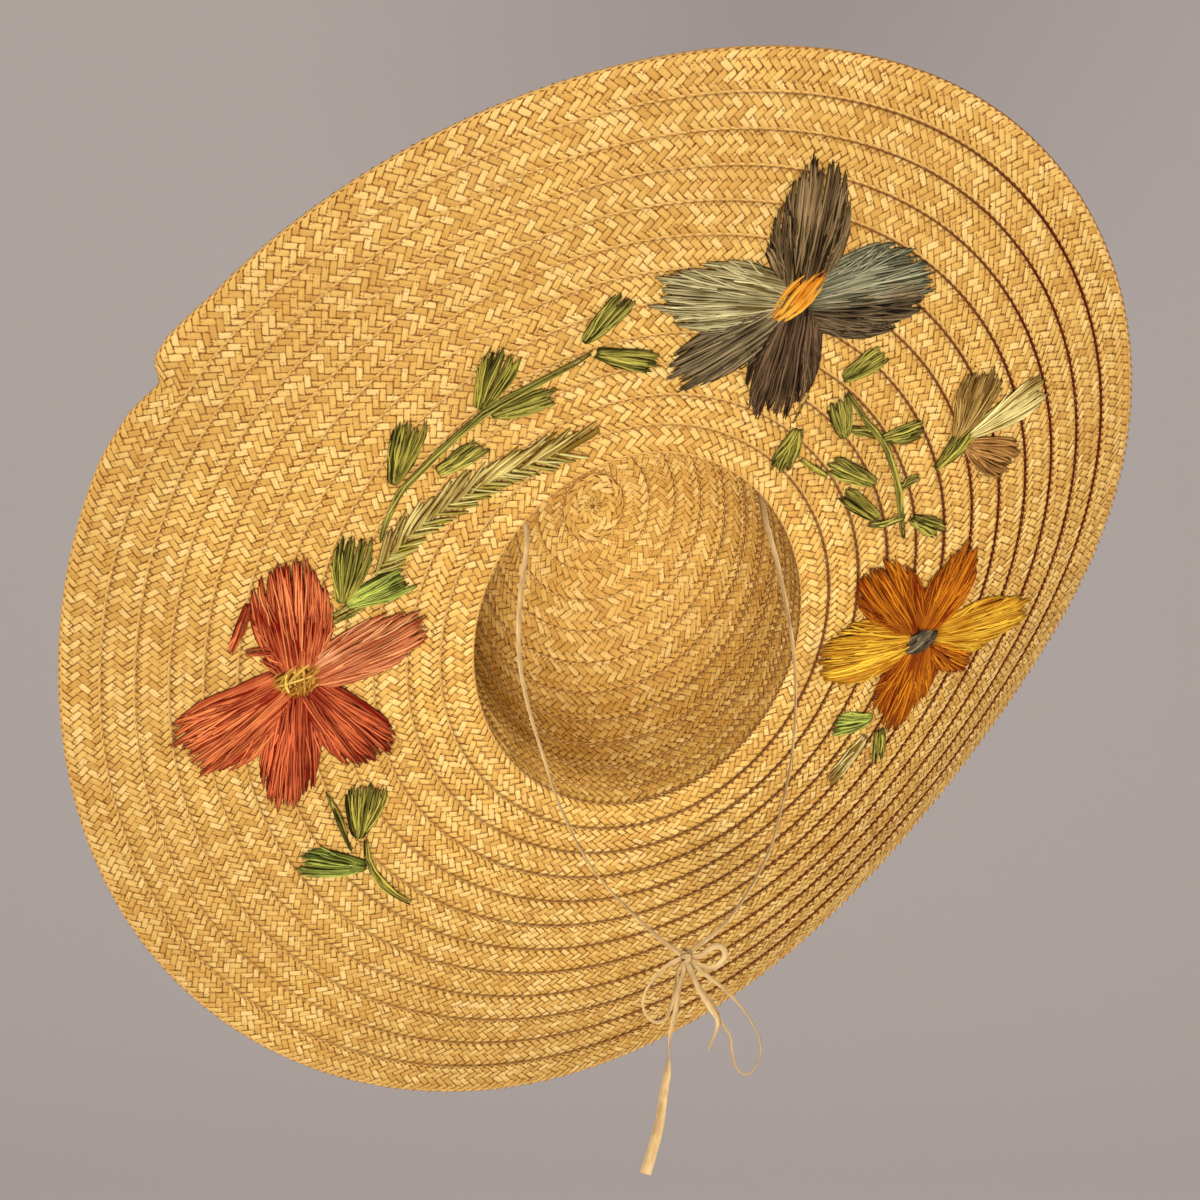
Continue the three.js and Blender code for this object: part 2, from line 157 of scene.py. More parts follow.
LEAVES = [
    ("vine_leaf_a", -29, 158, -9, 180, 4, 12, "green"),
    ("vine_leaf_b", -24, 152, 4, 143, 4, 12, "green"),
    ("vine_leaf_c", -71, 131, -59, 160, 5, 18, "dark green"),
    ("vine_leaf_d", -66, 127, -37, 134, 4, 11, "green"),
    ("vine_leaf_e", -106, 97, -97, 130, 5, 15, "dark green"),
    ("vine_leaf_f", -88, 101, -67, 114, 4, 11, "green"),
    ("vine_leaf_g", -128, 37, -121, 73, 6, 17, "dark green"),
    ("vine_leaf_h", -127, 36, -97, 49, 6, 16, "bright green"),
    ("left_sprig_leaf_a", -125, -97, -119, -64, 5, 20, "dark green"),
    ("left_sprig_leaf_b", -122, -115, -155, -107, 5, 19, "bright green"),
    ("right_spray_leaf_a", 82, 125, 102, 135, 5, 12, "green"),
    ("right_spray_leaf_b", 85, 96, 80, 119, 4, 11, "green"),
    ("right_spray_leaf_c", 102, 92, 122, 93, 4, 11, "green"),
    ("right_spray_leaf_d", 64, 104, 56, 81, 4, 12, "dark green"),
    ("right_spray_leaf_e", 101, 70, 76, 86, 4, 11, "green"),
    ("right_spray_leaf_f", 104, 51, 84, 70, 4, 10, "dark green"),
    ("right_spray_leaf_g", 120, 48, 137, 35, 4, 10, "green"),
    ("pale_sprig_olive", 138, 84, 152, 117, 5, 24, "brown"),
    ("pale_sprig_cream", 143, 84, 184, 97, 4, 19, "pale"),
    ("pale_sprig_tan", 143, 80, 171, 61, 5, 21, "tan"),
    ("pale_sprig_base", 129, 71, 147, 89, 2, 12, "dark green"),
    ("low_right_leaf", 114, -68, 92, -67, 5, 15, "bright green"),
    ("low_right_dark_leaf", 119, -78, 122, -104, 4, 8, "dark green"),
    ("low_right_pale_leaf", 112, -79, 95, -108, 4, 9, "pale"),
]
LEAF_FULL = 0.8
LEAF_TIP_SHARE = 0.7

# Flower middles are crossing wraps: heading and crossing are in degrees
MIDDLE_COLUMNS = ("name", "x", "y", "long", "wide", "heading", "crossing", "finish")
MIDDLES = [
    ("blue_flower_middle", 60, 168, 32, 17, 38, 14, "yolk"),
    ("coral_flower_middle", -147, -2, 27, 18, 22, 70, "olive"),
    ("gold_flower_middle", 133, -25, 20, 14, 10, 60, "steel"),
]

# Stems and single strands follow their points
STEM_COLUMNS = ("name", "wide", "finish", "points")
STEMS = [
    ("vine_stem", 2.6, "green", [
        (-112, 68), (-108, 84), (-101, 97), (-88, 111), (-78, 121), (-69, 129), (-56, 137),
        (-43, 143), (-30, 150), (-20, 157),
    ]),
    ("left_sprig_stem", 3.4, "dark green", [(-122, -98), (-121, -112), (-114, -128), (-101, -142)]),
    ("right_spray_stem", 2.2, "green", [
        (84, 118), (92, 105), (102, 92), (108, 78), (113, 63), (114, 51), (118, 34),
    ]),
]
BARE_STRANDS = [
    ("left_sprig_thread", 1.6, "dark green", [(-139, -67), (-134, -84), (-128, -106)]),
    ("right_spray_thread", 1.0, "brown", [(67, 123), (64, 115), (61, 107)]),
    ("right_spray_left_thread", 1.8, "dark green", [(66, 88), (72, 83), (79, 77)]),
    ("right_spray_cross_stitch", 3.2, "green", [(87, 100), (95, 97), (103, 93)]),
    ("right_spray_small_stitch", 4.2, "green", [(112, 65), (117, 68), (122, 69)]),
    ("right_spray_low_stitch", 3.0, "green", [(99, 49), (108, 48), (117, 50)]),
    ("vine_low_stitch", 6.0, "dark green", [(-133, 28), (-127, 32), (-119, 36)]),
    ("coral_short_stitch", 5.0, "deep salmon", [(-170, 13), (-162, 14), (-154, 14)]),
    ("coral_short_tuft", 6.0, "deep salmon", [(-163, 10), (-158, 6), (-154, 1)]),
]
FEATHER = [(-116, 50), (-107, 62), (-97, 74), (-84, 84), (-70, 93), (-54, 100), (-38, 105), (-20, 110)]
FEATHER_WIDE = 18

# Each dyed raffia's darkest and lightest strands, as red, green and blue up to 255
DYE_COLUMNS = ("name", "slot", "dark", "light")
DYES = [
    ("pale slate", "slate_raffia", (92, 78, 38), (222, 210, 158)),
    ("deep slate", "slate_raffia", (34, 24, 10), (160, 140, 102)),
    ("charcoal", "charcoal_raffia", (21, 9, 3), (125, 98, 70)),
    ("taupe", "taupe_raffia", (34, 20, 5), (158, 131, 90)),
    ("bright coral", "coral_raffia", (128, 18, 2), (246, 150, 90)),
    ("coral", "coral_raffia", (103, 9, 1), (234, 122, 72)),
    ("deep salmon", "salmon_raffia", (124, 22, 3), (253, 150, 88)),
    ("orange", "burnt_orange_raffia", (113, 36, 1), (220, 138, 27)),
    ("gold", "gold_raffia", (150, 84, 2), (255, 212, 68)),
    ("yolk", "yellow_raffia", (176, 98, 6), (238, 194, 78)),
    ("olive", "olive_yellow_raffia", (132, 68, 5), (240, 208, 100)),
    ("steel", "steel_blue_raffia", (26, 19, 12), (140, 124, 96)),
    ("green", "green_raffia", (42, 40, 2), (204, 193, 90)),
    ("dark green", "dark_green_raffia", (34, 31, 2), (206, 193, 84)),
    ("bright green", "bright_green_raffia", (40, 50, 3), (206, 216, 100)),
    ("pale", "pale_green_raffia", (118, 86, 14), (255, 242, 166)),
    ("brown", "brown_raffia", (78, 48, 6), (222, 184, 104)),
    ("tan", "brown_raffia", (92, 50, 8), (226, 174, 100)),
    ("natural", "natural_raffia", (112, 74, 32), (232, 202, 146)),
]
TIE_DYE = "natural"

# Dyes whose tone changes toward one side of the petal or feather
TWO_TONE_COLUMNS = DYE_COLUMNS + ("low_dark", "low_light")
TWO_TONES = [
    ("slate over charcoal", "slate_raffia", (64, 63, 45), (176, 174, 140), (27, 16, 7), (140, 118, 86)),
    ("salmon over coral", "salmon_raffia", (150, 54, 16), (252, 196, 136), (136, 38, 8), (255, 176, 116)),
    ("tan over pale", "pale_green_raffia", (116, 90, 22), (250, 232, 150), (138, 122, 30), (252, 246, 170)),
]


def named_rows(columns, table):
    """A table's lines as rows with the columns' names."""
    return [dict(zip(columns, line)) for line in table]


# Camera and its view
def add_camera():
    back = Vector((
        math.sin(CAMERA_AZIMUTH) * math.cos(CAMERA_ELEVATION),
        -math.cos(CAMERA_AZIMUTH) * math.cos(CAMERA_ELEVATION),
        math.sin(CAMERA_ELEVATION),
    ))
    data = bpy.data.cameras.new("camera")
    data.sensor_fit = "HORIZONTAL"
    data.angle = CAMERA_ANGLE
    camera = bpy.data.objects.new("camera", data)
    camera.location = CAMERA_PLACE
    camera.rotation_euler = (-back).to_track_quat("-Z", "Y").to_euler()
    bpy.context.collection.objects.link(camera)
    bpy.context.scene.camera = camera


# Formulas of nodes, written as arithmetic with sockets
class Field:
    def __init__(self, tree, socket):
        self.tree = tree
        self.socket = socket

    def math(self, operation, *others):
        node = self.tree.nodes.new("ShaderNodeMath")
        node.operation = operation
        for place, value in enumerate((self, *others)):
            put(self.tree, node.inputs[place], value)
        return Field(self.tree, node.outputs[0])

    def __add__(self, other):
        return self.math("ADD", other)

    def __sub__(self, other):
        return self.math("SUBTRACT", other)

    def __mul__(self, other):
        return self.math("MULTIPLY", other)

    def __truediv__(self, other):
        return self.math("DIVIDE", other)

    def __rsub__(self, other):
        return self.math("MULTIPLY", -1).math("ADD", other)

    def __pow__(self, other):
        return self.math("POWER", other)

    def __abs__(self):
        return self.math("ABSOLUTE")

    def clamp(self, low, high):
        return self.math("MAXIMUM", low).math("MINIMUM", high)

    __radd__ = __add__
    __rmul__ = __mul__


def put(tree, socket, value):
    """A field, a socket or a plain value goes into an input."""
    if isinstance(value, Field):
        value = value.socket
    if isinstance(value, bpy.types.NodeSocket):
        tree.links.new(value, socket)
    else:
        socket.default_value = value


def step(tree, kind, inputs=(), **settings):
    """A new node with its settings, then its inputs by name or number."""
    node = tree.nodes.new(kind)
    for name, value in settings.items():
        setattr(node, name, value)
    for key, value in dict(inputs).items():
        put(tree, node.inputs[key], value)
    return node


def out(node, key=0):
    return Field(node.id_data, node.outputs[key])


def xyz(tree, x, y, z=0.0):
    """A vector from three values."""
    return step(tree, "ShaderNodeCombineXYZ", {"X": x, "Y": y, "Z": z}).outputs[0]


def parts_of(tree, vector):
    """The three values of a vector."""
    node = step(tree, "ShaderNodeSeparateXYZ", {0: vector})
    return [out(node, i) for i in range(3)]


def position_of(tree):
    return step(tree, "GeometryNodeInputPosition").outputs[0]


def stored(tree, name, kind="FLOAT"):
    """An attribute that a mesh of a geometry tree brings with it."""
    return out(step(tree, "GeometryNodeInputNamedAttribute", {"Name": name}, data_type=kind))


def store(tree, geometry, name, value, domain):
    return step(tree, "GeometryNodeStoreNamedAttribute", {
        "Geometry": geometry, "Name": name, "Value": value,
    }, data_type="FLOAT", domain=domain).outputs[0]


def sample_strip(tree, mesh, uv, value, kind="FLOAT_VECTOR"):
    """A value at a place on a strip, found by the strip's UV."""
    return out(step(tree, "GeometryNodeSampleUVSurface", {
        "Mesh": mesh, "Value": value, "UV Map": stored(tree, "place", "FLOAT_VECTOR"), "Sample UV": uv,
    }, data_type=kind))


def on_strip(tree, mesh, uv, height):
    """A place at a height above a strip."""
    normal = step(tree, "GeometryNodeInputNormal").outputs[0]
    at = sample_strip(tree, mesh, uv, position_of(tree))
    up = sample_strip(tree, mesh, uv, normal)
    raised = step(tree, "ShaderNodeVectorMath", {0: up, "Scale": height}, operation="SCALE")
    return step(tree, "ShaderNodeVectorMath", {0: at, 1: raised.outputs[0]}, operation="ADD").outputs[0]


def random_in(tree, seed):
    """A tree's random values, each with a salt of its own. With a key, equal keys give equal values."""
    def random(low, high, salt, key=None):
        node = step(tree, "FunctionNodeRandomValue", data_type="FLOAT")
        node.inputs[2].default_value = low
        node.inputs[3].default_value = high
        put(tree, node.inputs["Seed"], seed + salt)
        if key is not None:
            put(tree, node.inputs["ID"], key)
        return out(node, 1)

    return random


def new_geometry_tree(name, inputs):
    tree = bpy.data.node_groups.new(name, "GeometryNodeTree")
    tree.interface.new_socket("Geometry", in_out="INPUT", socket_type="NodeSocketGeometry")
    for label, kind in inputs:
        tree.interface.new_socket(label, in_out="INPUT", socket_type=f"NodeSocket{kind}")
    tree.interface.new_socket("Geometry", in_out="OUTPUT", socket_type="NodeSocketGeometry")
    start = tree.nodes.new("NodeGroupInput")
    end = tree.nodes.new("NodeGroupOutput")
    return tree, lambda label: Field(tree, start.outputs[label]), end.inputs[0]


def grown(name, tree, base, values):
    """The plain mesh object that a tree makes from a base mesh."""
    source = placed_object(f"{name}_source", base)
    modifier = source.modifiers.new(tree.name, "NODES")
    modifier.node_group = tree
    for item in tree.interface.items_tree:
        if item.in_out == "INPUT" and item.name in values:
            modifier[item.identifier] = values[item.name]
    graph = bpy.context.evaluated_depsgraph_get()
    mesh = bpy.data.meshes.new_from_object(
        source.evaluated_get(graph), preserve_all_data_layers=True, depsgraph=graph
    )
    source.modifiers.clear()
    bpy.data.objects.remove(source)
    return placed_object(name, mesh)


def placed_object(name, mesh):
    piece = bpy.data.objects.new(name, mesh)
    bpy.context.collection.objects.link(piece)
    return piece


def joined(name, parts):
    """Several mesh objects as one piece."""
    with bpy.context.temp_override(
        active_object=parts[0], object=parts[0], selected_objects=parts,
        selected_editable_objects=parts,
    ):
        bpy.ops.object.join()
    parts[0].name = name
    parts[0].data.name = name
    return parts[0]


def mesh_of(name, points, faces, uvs=None):
    """A mesh from points and faces, with one UV pair for each point if they are given."""
    mesh = bpy.data.meshes.new(name)
    mesh.from_pydata([tuple(p) for p in points], [], [tuple(f) for f in faces])
    if uvs is not None:
        layer = mesh.uv_layers.new(name="place")
        corners = np.zeros(len(mesh.loops), dtype=np.int32)
        mesh.loops.foreach_get("vertex_index", corners)
        layer.data.foreach_set("uv", np.asarray(uvs, dtype=np.float32)[corners].ravel())
    mesh.validate()
    mesh.update()
    return mesh


def give_points(mesh, name, values):
    """A value for each point of a mesh, as an attribute."""
    mesh.attributes.new(name, "FLOAT", "POINT").data.foreach_set("value", values)


def grid_faces(rows, wide):
    """The faces between rows of points, each as wide as the next."""
    return [
        (low, low + wide, low + wide + 1, low + 1)
        for i in range(rows - 1) for low in range(i * wide, i * wide + wide - 1)
    ]


def run_of(points):
    """The length of a route up to each of its points."""
    return np.concatenate([[0], np.cumsum(np.linalg.norm(np.diff(points, axis=0), axis=1))])


def smooth_route(points, count):
    """Even places on a smooth line through points."""
    points = np.array(points, dtype=float)
    padded = np.vstack([2 * points[0] - points[1], points, 2 * points[-1] - points[-2]])
    fine = []
    for i in range(1, len(padded) - 2):
        before, start, stop, after = padded[i - 1:i + 3]
        for t in np.linspace(0, 1, 24, endpoint=False):
            fine.append(0.5 * (
                2 * start + (stop - before) * t + (2 * before - 5 * start + 4 * stop - after) * t ** 2
                + (3 * start - before - 3 * stop + after) * t ** 3
            ))
    fine = np.array(fine + [points[-1]])
    run = run_of(fine)
    places = np.linspace(0, run[-1], count)
    return np.stack([np.interp(places, run, fine[:, k]) for k in range(fine.shape[1])], axis=1)


# The brim's formulas, angle is the polar angle in the hat's own frame
def opening_radius(angle):
    across = OPENING_ACROSS / 2
    long = OPENING_LONG / 2
    return across * long / np.hypot(long * np.cos(angle), across * np.sin(angle))


def waves(angle, cosine, sine):
    total = 0
    for wave in named_rows(WAVE_COLUMNS, BRIM_WAVES):
        turns = wave["turns"] * angle
        total = total + wave[cosine] * np.cos(turns) + wave[sine] * np.sin(turns)
    return total


def brim_reach(angle):
    return (BRIM_REACH + waves(angle, "reach_cos", "reach_sin")) * MM


def brim_rise(angle, share):
    far = BRIM_RISE_FAR + waves(angle, "rise_cos", "rise_sin")
    return (BRIM_RISE_NEAR * share + far * share * share) * MM


def row_share(angle, row):
    """Share of the brim's reach at the inner edge of a row, counted from 0."""
    return (1 - EDGE_ROW_WIDTH / brim_reach(angle)) * row / (ROW_COUNT - 1)


def brim_row_shows(row, angles):
    """Width of a row that the next one leaves free."""
    return (row_share(angles, row + 1) - row_share(angles, row)) * brim_reach(angles)


def notch_out(angle):
    degrees = np.degrees(np.mod(angle, 2 * math.pi))
    return np.interp(degrees, NOTCH_DEGREES, NOTCH_OUT) * MM


def to_row_frame(points):
    return np.asarray(points) @ HAT.T


def brim_row_points(row, angles, across):
    """Middle surface of one row of braid: across is 0 at its inner edge and 1 at its outer edge."""
    inner = row_share(angles, row)
    edge_row = row == ROW_COUNT - 1
    width = EDGE_ROW_WIDTH if edge_row else BRAID_WIDTH
    visible = brim_row_shows(row, angles)
    rings = []
    for t in across:
        share = inner + t * width / brim_reach(angles)
        fall = t if edge_row else t * width / visible
        radius = opening_radius(angles) + brim_reach(angles) * share
        if edge_row:
            radius = radius + notch_out(angles) * np.clip(t, 0, 1)
        height = brim_rise(angles, share) + ROW_STEP * (1 - fall) - BRAID_HALF
        ring = np.stack([radius * np.cos(angles), radius * np.sin(angles), height], axis=1)
        rings.append(to_row_frame(ring))
    return rings


def crown_profile():
    """Depth and size of the crown's inside at even steps of its length, and that length."""
    place = np.arange(len(CROWN_DEPTHS))
    fine = np.linspace(0, len(CROWN_DEPTHS) - 1, 400)
    depth = np.interp(fine, place, CROWN_DEPTHS) * MM
    size = np.interp(fine, place, CROWN_SIZES)
    radius = size * (OPENING_ACROSS + OPENING_LONG) / 4
    run = np.concatenate([[0], np.cumsum(np.hypot(np.diff(depth), np.diff(radius)))])
    return run, depth, size


def crown_row_points(row, rows, angles, across):
    """Middle surface of one row of the crown, counted from the brim: across is 0 nearest the brim."""
    run, depth, size = crown_profile()
    pitch = run[-1] / rows
    lap = BRAID_WIDTH - pitch
    rings = []
    for t in across:
        along = min(max(row * pitch - lap + t * BRAID_WIDTH, 0.2 * MM), run[-1] - 0.2 * MM)
        near, far = max(along - 2 * MM, 0), min(along + 2 * MM, run[-1])
        drop = np.interp(far, run, depth) - np.interp(near, run, depth)
        shrink = (np.interp(near, run, size) - np.interp(far, run, size)) * 85 * MM
        steep = drop / math.hypot(drop, shrink)
        lift = WALL - BRAID_HALF + CROWN_ROW_STEP * (t - lap / BRAID_WIDTH)
        radius = opening_radius(angles) * np.interp(along, run, size) + lift * steep
        back = np.interp(along, run, depth) + lift * math.sqrt(max(0, 1 - steep * steep))
        ring = np.stack(
            [radius * np.cos(angles), radius * np.sin(angles), np.full_like(angles, -back)], axis=1
        )
        rings.append(to_row_frame(ring))
    return rings


# A row's strip runs a little past a whole turn, so that strands which cross its start lie on it
TURN_STEPS = 144
EDGE_TURN_STEPS = 480
STRIP_OVER = 0.02
STRIP_ACROSS = np.array([-0.08, 0, 0.25, 0.5, 0.75, 1, 1.08])


def even_angles(ring_at, shares):
    """Angles at even steps of length along a row."""
    fine = np.linspace(-0.5, 2.5, 1800) * 2 * math.pi
    run = run_of(ring_at(fine))
    start = np.interp(0, fine, run)
    turn = np.interp(2 * math.pi, fine, run) - start
    return np.interp(start + shares * turn, run, fine), turn


def row_strip(name, ring_at, rings_at, free_at, turn_steps):
    """The strip that a row's strands lie on, with u once round the row and v across it. Its seam
    attribute is 1 where the next row's edge lies on it."""
    shares = np.linspace(-STRIP_OVER, 1 + STRIP_OVER, turn_steps + 1)
    angles, length = even_angles(ring_at, shares)
    rings = rings_at(angles, STRIP_ACROSS)
    points = np.concatenate(rings)
    uvs = [(u, v) for v in STRIP_ACROSS for u in shares]
    mesh = mesh_of(name, points, grid_faces(len(STRIP_ACROSS), len(shares)), uvs)
    free = np.broadcast_to(free_at(angles), angles.shape)
    give_points(mesh, "seam", np.concatenate([across / free for across in STRIP_ACROSS]))
    return mesh, length


# Section of the band inside a row: across it and half its thickness in millimetres
BAND_SECTION = (
    (-0.008, 0.2), (0.02, 0.44), (0.065, 0.2), (0.28, 0.12), (0.5, 0.12), (0.72, 0.12), (0.935, 0.2),
    (0.98, 0.44), (1.008, 0.2),
)
HAT_EDGE_SECTION = BAND_SECTION[:-2] + ((0.985, 0.62), (1.02, 0.3))


def core_band(name, rings_at, steps, folds, outward=0, section=BAND_SECTION):
    """The closed band inside a row, thin between its layers and thick along its folded edges. outward
    sinks it toward the hat's outside, in millimetres."""
    shares = np.linspace(0, 1, steps + 1)
    angles = shares * 2 * math.pi
    across = np.array([place for place, half in section])
    half = np.array([half for place, half in section])[:, None, None] * MM
    rings = np.array(rings_at(angles, across))
    along = np.gradient(rings, axis=1)
    along[:, [0, -1]] = rings[:, [1, 1]] - rings[:, [-2, -2]]
    over = np.gradient(rings, axis=0)
    normal = np.cross(over, along)
    normal /= np.linalg.norm(normal, axis=2)[:, :, None]
    rings = rings + normal * outward * MM
    loops = np.concatenate([rings - normal * half, (rings + normal * half)[::-1]])
    places = list(across) + list(across)[::-1]
    count = len(loops)
    points = loops[:, :-1].reshape(-1, 3)
    faces = []
    corners = []
    for i in range(count):
        k = (i + 1) % count
        for j in range(steps):
            m = (j + 1) % steps
            faces.append((i * steps + j, i * steps + m, k * steps + m, k * steps + j))
            low, high = shares[j] * folds, shares[j + 1] * folds
            corners.extend([(low, places[i]), (high, places[i]), (high, places[k]), (low, places[k])])
    mesh = mesh_of(name, points, faces)
    layer = mesh.uv_layers.new(name="place")
    layer.data.foreach_set("uv", np.asarray(corners, dtype=np.float32).ravel())
    return placed_object(name, mesh)


def strand_mesh(name, stations, crown_shares, crown_low):
    """One visible length of a strand: a closed, slightly crowned plank that dips at both ends.
    stations are (place along, height of the top), in millimetres."""
    half = STRAND_WIDTH * 0.485
    points = []
    uvs = []
    for along, high in stations:
        for share in crown_shares:
            low = crown_low if abs(share) == 1 else 0
            points.append((along * MM, share * half, (high - low) * MM))
            uvs.append((along / 8 + 0.5, share / 2 + 0.5))
    wide = len(crown_shares)
    last = len(stations) - 1
    faces = []
    for i in range(last):
        for j in range(wide - 1):
            low = i * wide + j
            faces.append((low, low + wide, low + wide + 1, low + 1))
        faces.append((i * wide, i * wide + wide - 1, (i + 1) * wide + wide - 1, (i + 1) * wide))
    faces.append(tuple(range(wide)))
    faces.append(tuple(last * wide + j for j in reversed(range(wide))))
    mesh = mesh_of(name, points, faces, uvs)
    mesh.set_sharp_from_angle(angle=math.radians(60))
    return mesh


# How far a strand drops for each length that it passes the braid's edge
EDGE_DROP = 0.7


def braid_tree():
    """Strands in the slanted columns of a flat braid, laid on the strip of a row."""
    tree, given, end = new_geometry_tree("flat braid", [
        ("Strand", "Object"), ("Columns", "Int"), ("Strands In A Column", "Int"), ("Pitch", "Float"),
        ("Side", "Float"), ("Start", "Float"), ("Seed", "Int"), ("Finish", "Material"),
    ])
    count = given("Strands In A Column")
    pitch = given("Pitch")
    side = given("Side")
    seed = given("Seed")
    points = step(tree, "GeometryNodePoints", {"Count": count * given("Columns")})
    index = out(step(tree, "GeometryNodeInputIndex"))
    column = (index / count).math("FLOOR")
    place = index - column * count
    odd = column.math("MODULO", 2)
    slant = (1 - odd * 2) * side
    shift = 0.5 - slant * 0.25
    random = random_in(tree, seed)
    spot = xyz(
        tree,
        (place + shift + random(-0.03, 0.03, 1)) * pitch,
        (column + 0.5 + random(-0.02, 0.02, 2)) * pitch,
        random(-0.06 * MM, 0.06 * MM, 3),
    )
    placed = step(tree, "GeometryNodeSetPosition", {"Geometry": points.outputs[0], "Position": spot})
    turned = xyz(
        tree, random(-0.11, 0.11, 4), random(-0.02, 0.02, 5), slant * (math.pi / 4) + random(-0.035, 0.035, 6)
    )
    rotation = step(tree, "FunctionNodeEulerToRotation", {0: turned})
    strand = step(tree, "GeometryNodeObjectInfo", {"Object": given("Strand")}, transform_space="ORIGINAL")
    laid = step(tree, "GeometryNodeInstanceOnPoints", {
        "Points": placed.outputs[0],
        "Instance": strand.outputs["Geometry"],
        "Rotation": rotation.outputs[0],
        "Scale": xyz(tree, 1.0, random(0.94, 1.03, 7), random(0.9, 1.1, 8)),
    })
    tinted = store(tree, laid.outputs[0], "tint", random(0, 1, 9), "INSTANCE")
    real = step(tree, "GeometryNodeRealizeInstances", {0: tinted})

    # At both edges of the braid a strand folds over, and the rest of it follows the strip
    x, y, z = parts_of(tree, position_of(tree))
    width = pitch * given("Columns")
    held = y.clamp(0, width)
    height = z - abs(y - held) * EDGE_DROP
    around = (x / (pitch * count) + given("Start")).math("FRACT")
    strip = given("Geometry")
    spot_uv = xyz(tree, around, held / width)
    near_seam = sample_strip(tree, strip, spot_uv, stored(tree, "seam"), "FLOAT")
    marked = store(tree, real.outputs[0], "seam", near_seam, "POINT")
    follow = step(tree, "GeometryNodeSetPosition", {
        "Geometry": marked, "Position": on_strip(tree, strip, spot_uv, height * side),
    })
    flipped = step(tree, "GeometryNodeFlipFaces", {
        "Mesh": follow.outputs[0], "Selection": side.math("LESS_THAN", 0),
    })
    finish = step(tree, "GeometryNodeSetMaterial", {
        "Geometry": flipped.outputs[0], "Material": given("Finish"),
    })
    tree.links.new(finish.outputs[0], end)
    return tree


# Materials
def new_material(name, roughness, specular=0.4, **sockets):
    material = bpy.data.materials.new(name)
    material.use_nodes = True
    shader = material.node_tree.nodes["Principled BSDF"]
    shader.inputs["Roughness"].default_value = roughness
    shader.inputs["Specular IOR Level"].default_value = specular
    for key, value in sockets.items():
        shader.inputs[key.replace("_", " ")].default_value = value
    return material, material.node_tree, shader


def noise(tree, vector, scale, detail=2.0, rough=0.5):
    return out(step(tree, "ShaderNodeTexNoise", {
        "Vector": vector, "Scale": scale, "Detail": detail, "Roughness": rough,
    }))


def ramp(tree, factor, stops):
    node = step(tree, "ShaderNodeValToRGB", {"Fac": factor})
    elements = node.color_ramp.elements
    while len(elements) < len(stops):
        elements.new(0.5)
    for element, (place, colour) in zip(elements, stops):
        element.position = place
        element.color = (*colour, 1)
    return node.outputs[0]


def blend_colour(tree, factor, first, second, kind="MIX"):
    node = tree.nodes.new("ShaderNodeMix")
    node.data_type = "RGBA"
    node.blend_type = kind
    put(tree, node.inputs[0], factor)
    for socket, value in ((node.inputs[6], first), (node.inputs[7], second)):
        put(tree, socket, (*value, 1) if isinstance(value, tuple) else value)
    return node.outputs[2]


def paint(red, green, blue):
    """A colour given in values up to 255, as the shader's own linear values."""
    return tuple(((value / 255 + 0.055) / 1.055) ** 2.4 for value in (red, green, blue))


def where(tree):
    """Place along and across a strand, from its UV, and the point in the part's frame."""
    along, across, nothing = parts_of(tree, step(tree, "ShaderNodeUVMap", uv_map="place").outputs[0])
    return along, across, step(tree, "ShaderNodeTexCoord").outputs["Object"]


def fact(tree, name):
    """An attribute that a mesh brings to its material."""
    return out(step(tree, "ShaderNodeAttribute", attribute_name=name), 2)


def colour_and_bump(tree, shader, tone, height, strength, distance):
    tree.links.new(tone, shader.inputs["Base Color"])
    bump = step(tree, "ShaderNodeBump", {"Strength": strength, "Distance": distance, "Height": height})
    tree.links.new(bump.outputs[0], shader.inputs["Normal"])


def painted_seam_shadow(tree, spot):
    """How dark the painted seam shadow is: strongest toward the wearer's left, the side the key light comes
    from, where the rows' proud edges cast their shadows.
    """
    toward_left = parts_of(tree, spot)[0] * 3.6 + 0.5
    return toward_left.clamp(0.12, 1)


